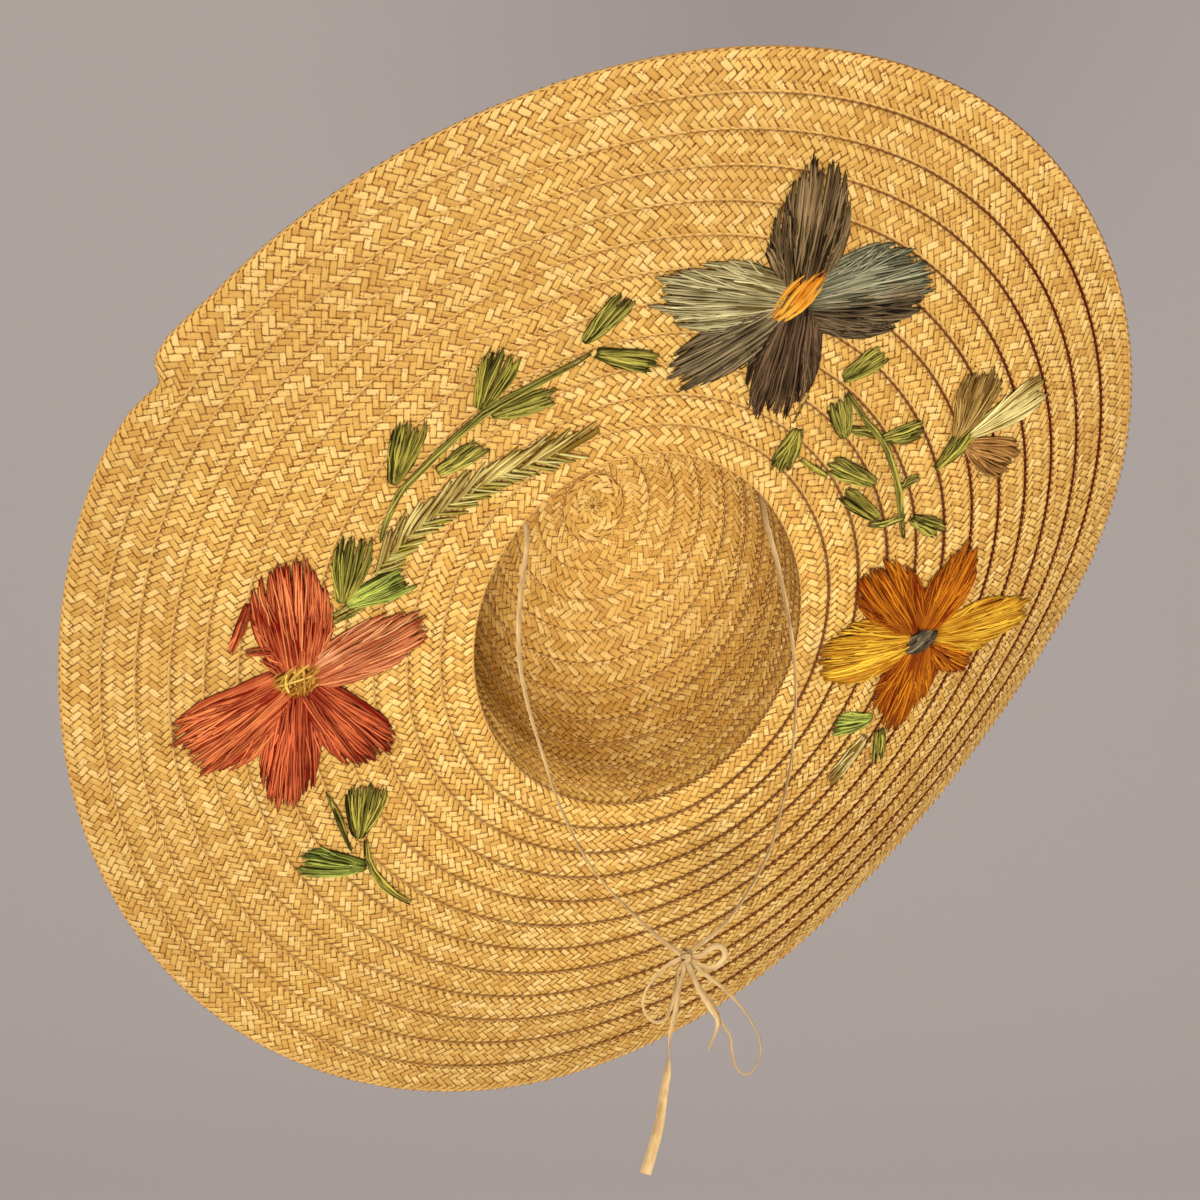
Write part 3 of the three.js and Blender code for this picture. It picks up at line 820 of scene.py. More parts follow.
def straw_material():
    """Split straw: each strand has its own tone and fine lines along it. Painted shade darkens its sides and
    ends and the seams, a painted shadow runs along the seams, and painted light lightens the straw near the
    head opening and lower down.
    """
    material, tree, shader = new_material("golden straw strands", 0.55, 0.12)
    tint = fact(tree, "tint")
    along, across, spot = where(tree)
    tone = ramp(tree, tint, [
        (0.0, paint(186, 144, 72)), (0.3, paint(198, 158, 84)), (0.7, paint(207, 172, 98)),
        (1.0, paint(217, 187, 120)),
    ])
    grain = noise(tree, xyz(tree, along * 0.7, across * 9, tint * 40), 2.2, 3.0, 0.6)
    streak = ramp(tree, grain, [(0.3, (0.66, 0.56, 0.42)), (0.52, (1, 1, 1)), (0.75, (1.2, 1.18, 1.08))])
    tone = blend_colour(tree, 0.6, tone, streak, "MULTIPLY")
    patches = noise(tree, spot, 14.0, 3.0, 0.55)
    patch = ramp(tree, patches, [(0.3, (0.90, 0.83, 0.70)), (0.5, (1, 1, 1)), (0.72, (1.08, 1.07, 1.0))])
    tone = blend_colour(tree, 0.8, tone, patch, "MULTIPLY")
    # Painted light: the straw is lightened near the head opening and lower down, where more light falls
    from_middle = out(step(tree, "ShaderNodeVectorMath", {0: spot}, operation="LENGTH"), 1)
    high = parts_of(tree, spot)[2]
    painted_light_pool = (1.1 - from_middle * 4.5 - high * 0.8).clamp(0, 1)
    tone = blend_colour(tree, painted_light_pool, tone, blend_colour(tree, 1.0, tone, (1.3, 1.3, 1.24), "MULTIPLY"))
    side = abs(across - 0.5) * 2
    tip = abs(along - 0.5) * 2
    # Painted shade in the crevices at each strand's sides and ends, where it dips under its neighbours
    crevice_shade = (side ** 7 * 0.6).math("MAXIMUM", tip ** 7 * 1.6).math("MINIMUM", 1)
    tone = blend_colour(tree, crevice_shade * 0.85, tone, paint(118, 68, 18))
    seam = fact(tree, "seam")
    wander = noise(tree, spot, 45.0, 2.0) - 0.5
    # Painted shade: dark marks at the strands' sides and ends beside the seam, where the gaps there fall in
    # shade
    seam_crevice_shade = (side ** 3).math("MAXIMUM", tip ** 4) * ((seam - 0.89) * 20).clamp(0, 1)
    tone = blend_colour(tree, seam_crevice_shade.math("MINIMUM", 1) * 0.75, tone, paint(92, 46, 12))
    # Painted shadow: a dark line on this row where the next row's proud edge lies, stronger toward the
    # wearer's left
    seam_shadow = painted_seam_shadow(tree, spot) * ((seam + wander * 0.02 - 0.915) * 60).clamp(0, 1)
    tone = blend_colour(tree, seam_shadow, tone, paint(78, 18, 4))
    colour_and_bump(tree, shader, tone, grain, 0.4, 0.4 * MM)
    return material


def band_material():
    """A row's two edges, where its strands fold over, and the shade between its two layers. The folds'
    creases carry painted shade, and the seam itself a painted shadow that is darker toward the wearer's left."""
    material, tree, shader = new_material("folded straw edges", 0.6, 0.2)
    along, across, spot = where(tree)
    edge = abs(across - 0.5) * 2
    fold = (along + edge * 6).math("FRACT")
    crease = abs(fold - 0.5) * 2
    # Painted shade: the creases of the folds are darker
    tone = blend_colour(tree, crease ** 6, paint(216, 176, 102), paint(150, 98, 34))
    patches = noise(tree, spot, 300.0, 2.0)
    tone = blend_colour(tree, patches * 0.4, tone, paint(180, 128, 58))
    # Painted shadow: a dark line at the band's very edges along the seams, stronger toward the wearer's left
    rim_shadow = ((edge - 0.985) * 80).clamp(0, 1)
    tone = blend_colour(tree, rim_shadow * painted_seam_shadow(tree, spot), tone, paint(88, 24, 5))
    between = ((0.9 - edge) * 25).clamp(0, 1)
    tone = blend_colour(tree, between, tone, paint(124, 76, 24))
    colour_and_bump(tree, shader, tone, 1 - crease, 0.6, 0.6 * MM)
    return material


def raffia_material(name, dark, light, stitches=True, lower=None):
    """Dyed split raffia: long fibres, tones that change from strand to strand and little shine. lower
    is the dark and light colour on the side where a strand's lane is low, if that differs."""
    material, tree, shader = new_material(f"{name} raffia", 0.6, 0.06)
    tint = fact(tree, "tint")
    along, across, spot = where(tree)
    fibre = noise(tree, xyz(tree, along * 2.0, across * 3.5, tint * 50), 2.0, 3.0, 0.65)
    patches = noise(tree, spot, 60.0, 2.0)
    level = tint * 0.9 + (patches - 0.5) * 0.8 + (fibre - 0.5) * 0.9

    def strand_tones(dark, light):
        mix = [tuple(d + (l - d) * share for d, l in zip(dark, light)) for share in (0, 0.28, 0.62, 1)]
        return ramp(tree, level, [(0.0, mix[0]), (0.35, mix[1]), (0.65, mix[2]), (1.0, mix[3])])

    tone = strand_tones(dark, light)
    if lower is not None:
        below = (0.1 - fact(tree, "lane_end") + (patches - 0.5) * 1.5) * 3
        tone = blend_colour(tree, below.clamp(0, 1), tone, strand_tones(*lower))
    shade = (abs(across - 0.5) * 2) ** 3 * 0.75
    if stitches:
        shade = shade.math("MAXIMUM", (abs(along - 0.5) * 2) ** 14 * 0.8)
    tone = blend_colour(tree, shade, tone, tuple(d * 0.55 for d in dark))
    colour_and_bump(tree, shader, tone, fibre, 0.5, 0.3 * MM)
    return material


def finished(piece, material, slot, *nodes):
    if material is not None:
        piece.data.materials.clear()
        piece.data.materials.append(material)
    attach(piece, "root")
    if nodes:
        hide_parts(*nodes)
    return piece


def smooth(piece, degrees=None):
    piece.data.polygons.foreach_set("use_smooth", [True] * len(piece.data.polygons))
    if degrees is not None:
        piece.data.set_sharp_from_angle(angle=math.radians(degrees))
    return piece


# The camera, then the chin tie of flat raffia strips
add_camera()

STRIP_SECTION = [
    (-1, 0), (-0.75, 0.7), (0, 0.3), (0.75, 0.7), (1, 0), (0.75, -0.5), (0, -0.75), (-0.75, -0.5),
]
STRIP_THICK = 0.75 * MM
STRIP_TINT = 0.65
TOWARD_CAMERA = np.array([-0.38, -0.92, 0.07])


def raffia_strip(name, route, widths, turns):
    """A flat, slightly folded strip along a route. widths, in millimetres, and turns, in degrees,
    are rows of a share of the length and a value."""
    count = len(route)
    shares = np.linspace(0, 1, count)
    along = np.gradient(route, axis=0)
    along /= np.linalg.norm(along, axis=1)[:, None]
    across = np.cross(along, TOWARD_CAMERA)
    across /= np.linalg.norm(across, axis=1)[:, None]
    up = np.cross(across, along)
    half = np.interp(shares, *zip(*widths)) * MM / 2
    turn = np.radians(np.interp(shares, *zip(*turns)))
    side = across * np.cos(turn)[:, None] + up * np.sin(turn)[:, None]
    top = up * np.cos(turn)[:, None] - across * np.sin(turn)[:, None]
    length = run_of(route)[-1]
    points = []
    uvs = []
    for i in range(count):
        for j, (x, y) in enumerate(STRIP_SECTION):
            points.append(route[i] + side[i] * x * half[i] + top[i] * y * STRIP_THICK / 2)
            uvs.append((shares[i] * length / 0.03, j / len(STRIP_SECTION)))
    wide = len(STRIP_SECTION)
    faces = []
    for i in range(count - 1):
        for j in range(wide):
            k = (j + 1) % wide
            faces.append((i * wide + j, i * wide + k, (i + 1) * wide + k, (i + 1) * wide + j))
    faces.append(tuple(reversed(range(wide))))
    faces.append(tuple((count - 1) * wide + j for j in range(wide)))
    mesh = mesh_of(name, points, faces, uvs)
    give_points(mesh, "tint", [STRIP_TINT] * len(points))
    return smooth(placed_object(name, mesh), 50)


def tie_route(name):
    """The tie's route, drawn into the knot at the end that meets it."""
    points = TIES[name]
    knot = np.array(KNOT_AT, dtype=float)
    ends = [np.array(points[0], dtype=float), np.array(points[-1], dtype=float)]
    inside = [knot + (end - knot) * 0.3 for end in ends]
    near = [np.linalg.norm(end - knot) < 12 for end in ends]
    full = ([inside[0]] if near[0] else []) + list(points) + ([inside[1]] if near[1] else [])
    length = run_of(smooth_route(full, 400))[-1]
    return smooth_route(full, max(16, round(length / 1.6))) * MM



# Each strip's width and its turn about its route, as raffia_strip takes them
TIE_STRIPS = {
    "tie_left": ([(0, 2.4), (1, 2.4)], [(0, 15), (0.3, 35), (0.5, 60), (0.8, 80), (0.93, 50), (1, 15)]),
    "tie_right": ([(0, 2.2), (1, 2.4)], [(0, 20), (0.1, 60), (0.5, 75), (0.8, 40), (1, 15)]),
    "bow_loop_left": (
        [(0, 2.4), (0.3, 1.6), (0.7, 1.5), (1, 2.2)], [(0, 20), (0.35, 50), (0.7, 30), (1, 60)],
    ),
    "bow_loop_small": ([(0, 2.4), (0.5, 2.8), (1, 2.2)], [(0, 0), (1, 40)]),
    "bow_loop_large": (
        [(0, 2.4), (0.3, 1.4), (0.6, 1.3), (0.85, 2.0), (1, 2.4)], [(0, 10), (0.3, 70), (0.7, 50), (1, 0)],
    ),
    "tie_tail_short": ([(0, 2.2), (0.5, 2.6), (0.8, 1.6), (1, 0.9)], [(0, 30), (0.5, 0), (1, 50)]),
    "tie_tail_long": (
        [(0, 2.0), (0.3, 2.4), (0.42, 2.2), (0.55, 3.4), (0.8, 4.3), (1, 4.8)],
        [(0, 10), (0.25, 0), (0.4, 75), (0.52, 160), (1, 180)],
    ),
}
RAFFIA = {}
SLOTS = {}
for dye in named_rows(DYE_COLUMNS, DYES) + named_rows(TWO_TONE_COLUMNS, TWO_TONES):
    low = [paint(*dye[key]) for key in ("low_dark", "low_light") if key in dye]
    RAFFIA[dye["name"]] = raffia_material(
        dye["name"], paint(*dye["dark"]), paint(*dye["light"]), dye["name"] != TIE_DYE, low or None
    )
    SLOTS[dye["name"]] = dye["slot"]

strips = {}
routes = {}
for name, (widths, turns) in TIE_STRIPS.items():
    routes[name] = tie_route(name)
    strips[name] = finished(
        raffia_strip(f"{name}_strip", routes[name], widths, turns), RAFFIA[TIE_DYE], SLOTS[TIE_DYE], name
    )

WRAP_COLUMNS = ("across", "deep", "high", "tilt", "wide")
KNOT_WRAPS = [(1.9, 2.3, 2.7, -20, 2.4), (2.5, 2.1, 2.5, 35, 2.2), (3.0, 2.5, 1.4, 80, 2.2)]
wraps = []
for row in named_rows(WRAP_COLUMNS, KNOT_WRAPS):
    tilt = math.radians(row["tilt"])
    places = []
    for turn in np.linspace(0.4, 2 * math.pi + 0.7, 26):
        high = math.cos(turn) * row["high"]
        lean = math.sin(turn) * row["across"] * 0.35
        x = lean * math.cos(tilt) - high * math.sin(tilt)
        z = high * math.cos(tilt) + lean * math.sin(tilt)
        places.append((np.array([x, -math.sin(turn) * row["deep"], z]) + np.array(KNOT_AT)) * MM)
    even = [(0, row["wide"]), (1, row["wide"])]
    wraps.append(raffia_strip("wrap", np.array(places), even, [(0, 0), (1, 0)]))
knot = finished(joined("bow_knot_wraps", wraps), RAFFIA[TIE_DYE], SLOTS[TIE_DYE], "bow_knot")

CORD_COLUMNS = ("name", "exit_end", "far_end", "with_pieces")
CORDS = [
    ("tie_left", 0, "knot", ["knot"]),
    ("tie_right", -1, "object", []),
    ("bow_loop_left", 0, "object", []),
    ("bow_loop_large", 0, "object", ["bow_loop_small"]),
    ("tie_tail_short", 0, "bare", []),
    ("tie_tail_long", 0, "bare", []),
]
for row in named_rows(CORD_COLUMNS, CORDS):
    route = routes[row["name"]]
    pieces = [knot if other == "knot" else strips[other] for other in row["with_pieces"]]


straw = straw_material()
folded_edges = band_material()
braid = braid_tree()

# Strands of the side that faces the viewer, and plainer ones for the other sides
FRONT_STATIONS = ((-3.95, -0.3), (-2.1, 0.42), (2.1, 0.42), (3.95, -0.3))
BACK_STATIONS = ((-3.95, -0.25), (-2.2, 0.42), (2.2, 0.42), (3.95, -0.25))
fine_strand = bpy.data.objects.new(
    "fine_strand", strand_mesh("fine_strand", FRONT_STATIONS, (-1, -0.6, 0.6, 1), 0.24)
)
plain_strand = bpy.data.objects.new(
    "plain_strand", strand_mesh("plain_strand", BACK_STATIONS, (-1, 0, 1), 0.16)
)


def woven_row(name, ring_at, rings_at, free_at, strand, side, seed, turn_steps=TURN_STEPS):
    """One row of braid. side is 1 on the side toward the head and -1 on the other."""
    strip, length = row_strip(f"{name}_strip", ring_at, rings_at, free_at, turn_steps)
    count = max(6, round(length / COLUMN_PITCH))
    made = grown(name, braid, strip, {
        "Strand": strand, "Columns": BRAID_COLUMNS, "Strands In A Column": count,
        "Pitch": COLUMN_PITCH, "Side": side, "Start": (seed * 0.377) % 1, "Seed": seed,
        "Finish": straw,
    })
    bpy.data.meshes.remove(strip)
    return made


def brim_row(row, strand, side):
    return woven_row(
        f"brim_row_{row}",
        lambda angles: brim_row_points(row, angles, [0.5])[0],
        lambda angles, across: brim_row_points(row, angles, across),
        lambda angles: 9 if row == ROW_COUNT - 1 else brim_row_shows(row, angles) / BRAID_WIDTH,
        strand, side, 10 * row + (5 if side < 0 else 0),
        EDGE_TURN_STEPS if row == ROW_COUNT - 1 else TURN_STEPS,
    )


CROWN_ROWS = 11
CROWN_BAND_SINKS = 0.15
BRIM_BAND_STEPS = 112
CROWN_BAND_STEPS = 72


def crown_row(row, side):
    return woven_row(
        f"crown_row_{row}",
        lambda angles: crown_row_points(row, CROWN_ROWS, angles, [0.5])[0],
        lambda angles, across: crown_row_points(row, CROWN_ROWS, angles, across),
        lambda angles: 1,
        plain_strand, side, 1000 + 10 * row + (5 if side < 0 else 0),
    )


BRIM_PIECES = {
    "brim_underside_inner_rows": (range(0, 7), fine_strand, 1),
    "brim_underside_outer_rows": (range(7, 12), fine_strand, 1),
    "brim_top_inner_rows": (range(0, 7), plain_strand, -1),
    "brim_top_outer_rows": (range(7, 12), plain_strand, -1),
}
for piece_name, (rows, strand, side) in BRIM_PIECES.items():
    piece = joined(piece_name, [brim_row(row, strand, side) for row in rows])
    finished(piece, None, "straw_braid", "brim")

for piece_name, side in (("crown_outside_braid", -1), ("crown_inside_braid", 1)):
    piece = joined(piece_name, [crown_row(row, side) for row in range(CROWN_ROWS)])
    finished(piece, None, "straw_braid", "crown")

bands = []
for row in range(ROW_COUNT):
    edge_row = row == ROW_COUNT - 1
    bands.append(core_band(
        f"band_{row}", lambda a, t, r=row: brim_row_points(r, a, t),
        EDGE_TURN_STEPS if edge_row else BRIM_BAND_STEPS, 150 + 20 * row,
        section=HAT_EDGE_SECTION if edge_row else BAND_SECTION,
    ))
for row in range(CROWN_ROWS):
    bands.append(core_band(
        f"crown_band_{row}", lambda a, t, r=row: crown_row_points(r, CROWN_ROWS, a, t),
        CROWN_BAND_STEPS, 128 - 9 * row, CROWN_BAND_SINKS,
    ))
finished(smooth(joined("braid_core", bands), 60), folded_edges, "straw_braid", "brim", "crown")


# Raffia stitching on the underside
def underside(x, y, lift):
    """Points of the underside at the hat's own x and y, in the part's frame."""
    x, y = np.asarray(x) * MM, np.asarray(y) * MM
    angle = np.arctan2(y, x)
    share = (np.hypot(x, y) - opening_radius(angle)) / brim_reach(angle)
    return to_row_frame(np.stack([x, y, brim_rise(angle, share) + lift], axis=-1))


def fan_width(row, full, share):
    """Half the width of a petal's fan of stitches, which stays open past its fullest place."""
    rise = np.sin(np.pi / 2 * np.clip(share / full, 0, 1))
    return (row["foot"] + (row["wide"] - row["foot"]) * rise) / 2


SIDES = np.array([-1.3, -1, -0.6, 0, 0.6, 1, 1.3])


def stitch_strip(name, centres, halves):
    """The curved strip that stitches lie on: u runs along the centres and v across, from 0 to 1."""
    centres = np.array(centres, dtype=float)
    along = np.gradient(centres, axis=0)
    along /= np.linalg.norm(along, axis=1)[:, None]
    count = len(centres)
    shares = np.linspace(0, 1, count)
    points = []
    uvs = []
    widths = []
    for i in range(count):
        for side in SIDES:
            place = centres[i] + np.array([-along[i][1], along[i][0]]) * side * halves[i]
            dome = STITCH_LOW + (STITCH_HIGH - STITCH_LOW) * max(0, 1 - side * side)
            points.append(underside(place[0], place[1], dome))
            uvs.append((shares[i], side / 2 + 0.5))
            widths.append(halves[i] * MM)
    mesh = mesh_of(name, points, grid_faces(count, len(SIDES)), uvs)
    give_points(mesh, "half", widths)
    return mesh


def petal_strip(row, full, stations=14):
    foot = np.array([row["foot_x"], row["foot_y"]], dtype=float)
    tip = np.array([row["tip_x"], row["tip_y"]], dtype=float)
    shares = np.linspace(0, 1, stations)
    centres = [foot + (tip - foot) * share for share in shares]
    return stitch_strip(row["name"], centres, fan_width(row, full, shares))


def raffia_strand():
    """One stitch of split raffia, x from 0 to 1 along it, y and z in shares of its width and height."""
    stations = (
        (0, 0.35, -1.0), (0.05, 0.8, 0.2), (0.2, 1, 0.8), (0.4, 0.9, 1), (0.6, 1, 0.9), (0.8, 0.9, 0.6),
        (0.95, 0.65, 0.0), (1, 0.2, -0.9),
    )
    section = ((-0.5, -0.7), (0.03, 0.5), (0.5, -0.7))
    points = [(along, side * wide, high + top) for along, wide, high in stations for side, top in section]
    uvs = [(along, side + 0.5) for along, wide, high in stations for side, top in section]
    faces = []
    for i in range(len(stations) - 1):
        for j in range(3):
            k = (j + 1) % 3
            faces.append((i * 3 + j, (i + 1) * 3 + j, (i + 1) * 3 + k, i * 3 + k))
    faces.append((0, 1, 2))
    last = (len(stations) - 1) * 3
    faces.append((last + 2, last + 1, last))
    mesh = mesh_of("raffia_strand", points, faces, uvs)
    sides = [i < len(faces) - 2 and i % 3 != 2 for i in range(len(faces))]
    mesh.polygons.foreach_set("use_smooth", sides)
    return bpy.data.objects.new("raffia_strand", mesh)


# How far out on its strip a stitch may lie, where 1 is the side of the petal
STRIP_SIDE = 1.25


def stitch_tree(name, feather):
    """Stitches along a strip. A satin petal has an even layer below and a loose one on top, and its
    outer stitches end where the petal narrows. A feather has slanted stitches to both sides."""
    tree, given, end = new_geometry_tree(name, [
        ("Strand", "Object"), ("Even Stitches", "Int"), ("Loose Stitches", "Int"), ("Width", "Float"),
        ("Height", "Float"), ("Ragged", "Float"), ("Full", "Float"), ("Tip Share", "Float"),
        ("Tufts", "Int"), ("Sway", "Float"), ("Slant", "Float"), ("Later Starts", "Float"),
        ("Seed", "Int"), ("Finish", "Material"),
    ])
    even = given("Even Stitches")
    seed = given("Seed")
    points = step(tree, "GeometryNodePoints", {"Count": even + given("Loose Stitches")})
    index = out(step(tree, "GeometryNodeInputIndex"))
    random = random_in(tree, seed)
    loose = index.math("GREATER_THAN", even - 0.5)
    if feather:
        turn = index.math("MODULO", 2) * 2 - 1
        upper = turn.math("GREATER_THAN", 0)
        begin = index / even * (1 - given("Slant")) + random(-0.02, 0.02, 1)
        finish = begin + given("Slant") * random(0.75, 1.15, 2) * (0.6 + upper * 0.65)
        lane_start = turn * -0.12
        lane_end = turn * random(0.7, 1.05, 3)
    else:
        even_lane = (index + 0.5) / even * 2 - 1 + random(-0.5, 0.5, 1) / even
        loose_lane = random(-1.02, 1.02, 2)
        lane = even_lane + (loose_lane - even_lane) * loose
        tip = given("Tip Share")
        beyond = ((abs(lane) - tip) / (1.0001 - tip)).clamp(0, 1)
        reach = 1 - (1 - given("Full")) * (2 / math.pi) * beyond.math("ARCSINE")
        ragged = given("Ragged")
        tufts = given("Tufts")
        tuft = ((lane + 1) * 0.5 * tufts).math("FLOOR")
        centre = (tuft + 0.5) / tufts * 2 - 1
        spread = abs(lane - centre) * tufts
        short = random(0, 1, 5, tuft) + spread * 0.5 + random(0, 0.4, 3) + loose * random(0, 1.2, 12)
        begin = random(0, 1, 4) * (loose * given("Later Starts") + 0.01)
        end_by_length = begin + random(0.35, 0.75, 17) + (1 - loose) * 2 + (1 - begin) * random(0, 0.3, 18)
        finish = (reach - short * ragged).math("MAXIMUM", 0.2).math("MINIMUM", end_by_length)
        begin = begin.math("MINIMUM", finish * 0.6)
        slant = loose * given("Slant") * random(0.3, 1, 19)
        lane_start = lane * (0.95 - slant) + random(-0.1, 0.1, 6) * loose
        lane_end = lane + (centre - lane) * 0.2 + random(-0.07, 0.07, 20) * loose
    lift = given("Height") * (loose * random(0.2, 1.9, 7) + random(-0.1, 0.2, 8))
    facts = {
        "begin": begin, "finish": finish, "lane_start": lane_start, "lane_end": lane_end,
        "lift": lift, "tint": random(0, 0.65, 9) + loose * random(-0.05, 0.5, 13),
        "wide": given("Width") * random(0.75, 1.2, 10) * (1 - loose * 0.25),
        "sway": given("Sway") * random(-1, 1, 14), "bend": random(4, 11, 15), "phase": random(0, 6.3, 16),
    }
    strand = step(tree, "GeometryNodeObjectInfo", {"Object": given("Strand")}, transform_space="ORIGINAL")
    laid = step(tree, "GeometryNodeInstanceOnPoints", {
        "Points": points.outputs[0], "Instance": strand.outputs["Geometry"],
    }).outputs[0]
    for key, value in facts.items():
        laid = store(tree, laid, key, value, "INSTANCE")
    real = step(tree, "GeometryNodeRealizeInstances", {0: laid}).outputs[0]

    def known(key):
        return stored(tree, key)

    x, y, z = parts_of(tree, position_of(tree))
    u = (known("begin") + x * (known("finish") - known("begin"))).clamp(0, 1)
    lane_here = known("lane_start") + x * (known("lane_end") - known("lane_start"))
    strip = given("Geometry")
    half_here = sample_strip(tree, strip, xyz(tree, u, 0.5), known("half"), "FLOAT")
    sway = known("sway") * (x * known("bend") + known("phase")).math("SINE")
    across = (lane_here + (y * known("wide") + sway) / half_here).clamp(-STRIP_SIDE, STRIP_SIDE)
    arch = 1 - abs(x * 2 - 1) ** 5
    height = z * given("Height") + known("lift") * arch
    place = on_strip(tree, strip, xyz(tree, u, across * 0.5 + 0.5), height)
    follow = step(tree, "GeometryNodeSetPosition", {"Geometry": real, "Position": place}).outputs[0]
    painted = step(tree, "GeometryNodeSetMaterial", {"Geometry": follow, "Material": given("Finish")})
    tree.links.new(painted.outputs[0], end)
    return tree


STRAND = raffia_strand()
SATIN = stitch_tree("satin stitches", False)
FISHBONE = stitch_tree("fishbone stitches", True)


def stitched(name, strip, finish, seed, even, loose, tree=None, **values):
    settings = {
        "Strand": STRAND, "Even Stitches": even, "Loose Stitches": loose, "Width": 1.2 * MM,
        "Height": 0.4 * MM, "Ragged": 0.06, "Full": 0.6, "Tip Share": 0.4, "Slant": 0.45,
        "Tufts": 4, "Sway": 0.45 * MM, "Later Starts": 0.6,
        "Seed": seed, "Finish": RAFFIA[finish],
    }
    settings.update(values)
    made = grown(name, tree or SATIN, strip, settings)
    bpy.data.meshes.remove(strip)
    return made


# Stitches are this far apart, in millimetres of a petal's or leaf's width
EVEN_APART = 0.95
LOOSE_APART = 0.6
LEAF_LOOSE_APART = 1.0
TUFT_WIDE = 4
PETAL_STITCHES = {"Width": 1.5 * MM, "Ragged": 0.1, "Later Starts": 0.5}
LEAF_STITCHES = {"Width": 1.35 * MM, "Ragged": 0.12, "Later Starts": 0.15}

fans = [
    (row, PETAL_STITCHES, row["full"], row["tip"] / row["wide"], LOOSE_APART)
    for row in named_rows(PETAL_COLUMNS, PETALS)
]
fans += [
    (row, LEAF_STITCHES, LEAF_FULL, LEAF_TIP_SHARE, LEAF_LOOSE_APART)
    for row in named_rows(LEAF_COLUMNS, LEAVES)
]
seed = 1
for row, settings, full, tip_share, loose_apart in fans:
    seed += 20
    wide = row["wide"]
    piece = stitched(
        f"{row['name']}_stitches", petal_strip(row, full), row["finish"], seed,
        max(3, round(wide / EVEN_APART)), max(3, round(wide / loose_apart)),
        **settings, **{"Full": full, "Tip Share": tip_share, "Tufts": max(2, round(wide / TUFT_WIDE))},
    )
    finished(piece, None, SLOTS[row["finish"]], row["name"])

# A middle's wraps: share of the crossing's turn, share of its length and count of stitches
MIDDLE_WRAPS = ((0, 1.0, 7), (1, 0.75, 6), (0.4, 0.9, 5))
MIDDLE_STITCHES = {
    "Width": 2.6 * MM, "Tip Share": 0.9, "Ragged": 0.1, "Later Starts": 0.1, "Slant": 0.0,
    "Sway": 0.1 * MM,
}
for row in named_rows(MIDDLE_COLUMNS, MIDDLES):
    parts = []
    for turn_share, share, count in MIDDLE_WRAPS:
        seed += 20
        turn = row["crossing"] * turn_share
        heading = math.radians(row["heading"] + turn)
        arm = np.array([math.cos(heading), math.sin(heading)]) * row["long"] / 2 * share
        centre = np.array([row["x"], row["y"]], dtype=float)
        centres = [centre + arm * t for t in np.linspace(-1, 1, 10)]
        halves = row["wide"] / 2 * (0.45 + 0.55 * np.sin(np.linspace(0, math.pi, 10))) * share
        parts.append(stitched(
            f"{row['name']}_{turn}", stitch_strip(row["name"], centres, halves), row["finish"], seed,
            count, 1, **MIDDLE_STITCHES, Height=(0.5 + 0.35 * len(parts)) * MM,
        ))
    finished(joined(f"{row['name']}_stitches", parts), None, SLOTS[row["finish"]], row["name"])

STEM_STITCHES = {"Width": 1.1 * MM, "Tip Share": 1.0, "Full": 1.0, "Ragged": 0.04, "Later Starts": 0.3}
STEM_STATIONS = 20
stem_names = [line[0] for line in STEMS]
for row in named_rows(STEM_COLUMNS, STEMS + BARE_STRANDS):
    seed += 20
    route = smooth_route(row["points"], STEM_STATIONS)
    strip = stitch_strip(row["name"], route, np.full(STEM_STATIONS, row["wide"] / 2))
    piece = stitched(f"{row['name']}_stitches", strip, row["finish"], seed, 3, 3, **STEM_STITCHES)
    replaced = [row["name"]] if row["name"] in stem_names else []
    finished(piece, None, SLOTS[row["finish"]], *replaced)

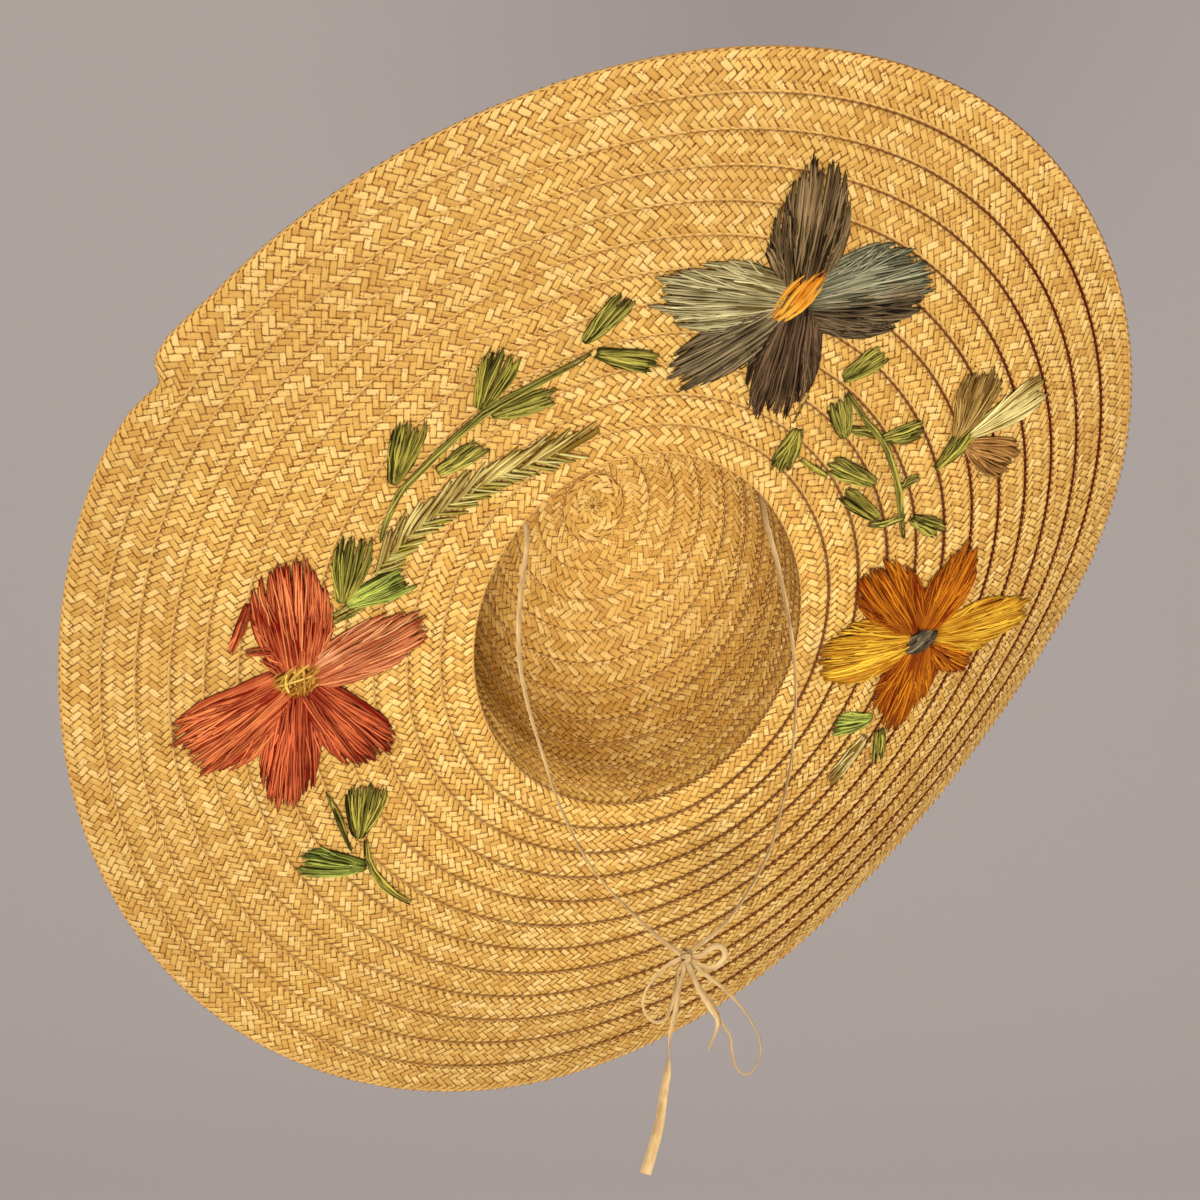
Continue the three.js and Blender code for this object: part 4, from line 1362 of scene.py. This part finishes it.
FEATHER_STATIONS = 24
FEATHER_STITCHES = {"Width": 2.0 * MM, "Slant": 0.17}
FEATHER_SEED = 777
FEATHER_COUNT = 76
FEATHER_DYE = "tan over pale"
route = smooth_route(FEATHER, FEATHER_STATIONS)
strip = stitch_strip("pale_feather", route, np.full(FEATHER_STATIONS, FEATHER_WIDE / 2))
piece = stitched(
    "pale_feather_stitches", strip, FEATHER_DYE, FEATHER_SEED, FEATHER_COUNT, 0, FISHBONE,
    **FEATHER_STITCHES,
)
finished(piece, None, SLOTS[FEATHER_DYE], "pale_feather")


# Lights, floor and surroundings
def area_light(name, place, size, power, colour):
    """A round lamp that looks at the middle of the head opening."""
    data = bpy.data.lights.new(name, "AREA")
    data.shape = "DISK"
    data.size = size
    data.energy = power
    data.color = colour
    light = bpy.data.objects.new(name, data)
    light.location = place
    light.rotation_euler = (-Vector(place)).to_track_quat("-Z", "Y").to_euler()
    bpy.context.collection.objects.link(light)


area_light("key light", (1.3, -1.35, 1.0), 0.3, 24, (1.0, 0.94, 0.84))
area_light("front light", (-1.3, -2.3, -0.55), 0.7, 70, (1.0, 0.95, 0.88))
area_light("top light", (-0.2, 0.6, 1.9), 1.2, 6, (1.0, 0.97, 0.92))

world = bpy.data.worlds.new("pale studio")
bpy.context.scene.world = world
world.use_nodes = True
sky = world.node_tree.nodes["Background"]
sky.inputs["Color"].default_value = (0.95, 0.90, 0.88, 1)
sky.inputs["Strength"].default_value = 0.34

# A floor that curves up into a wall behind the hat
FLOOR_HEIGHT = -0.95
WALL_AWAY = 5.0
SWEEP_RADIUS = 2.5
HALF_ROOM = 9.0
bend = np.linspace(0, math.pi / 2, 25)
profile = [(-HALF_ROOM, 0)]
profile += [(WALL_AWAY - SWEEP_RADIUS * (1 - math.sin(a)), SWEEP_RADIUS * (1 - math.cos(a))) for a in bend]
profile += [(WALL_AWAY, HALF_ROOM)]
away = (-math.sin(CAMERA_AZIMUTH), math.cos(CAMERA_AZIMUTH))
floor_points = [
    (away[0] * far + away[1] * side, away[1] * far - away[0] * side, FLOOR_HEIGHT + high)
    for far, high in profile for side in (HALF_ROOM, -HALF_ROOM)
]
floor_mesh = mesh_of("floor", floor_points, grid_faces(len(profile), 2))
floor = smooth(placed_object("floor", floor_mesh))
floor_material, floor_tree, floor_shader = new_material("pale floor", 0.9, 0.1)
floor_shader.inputs["Base Color"].default_value = (0.86, 0.80, 0.78, 1)
floor_mesh.materials.append(floor_material)
bpy.context.scene.view_settings.view_transform = "Standard"
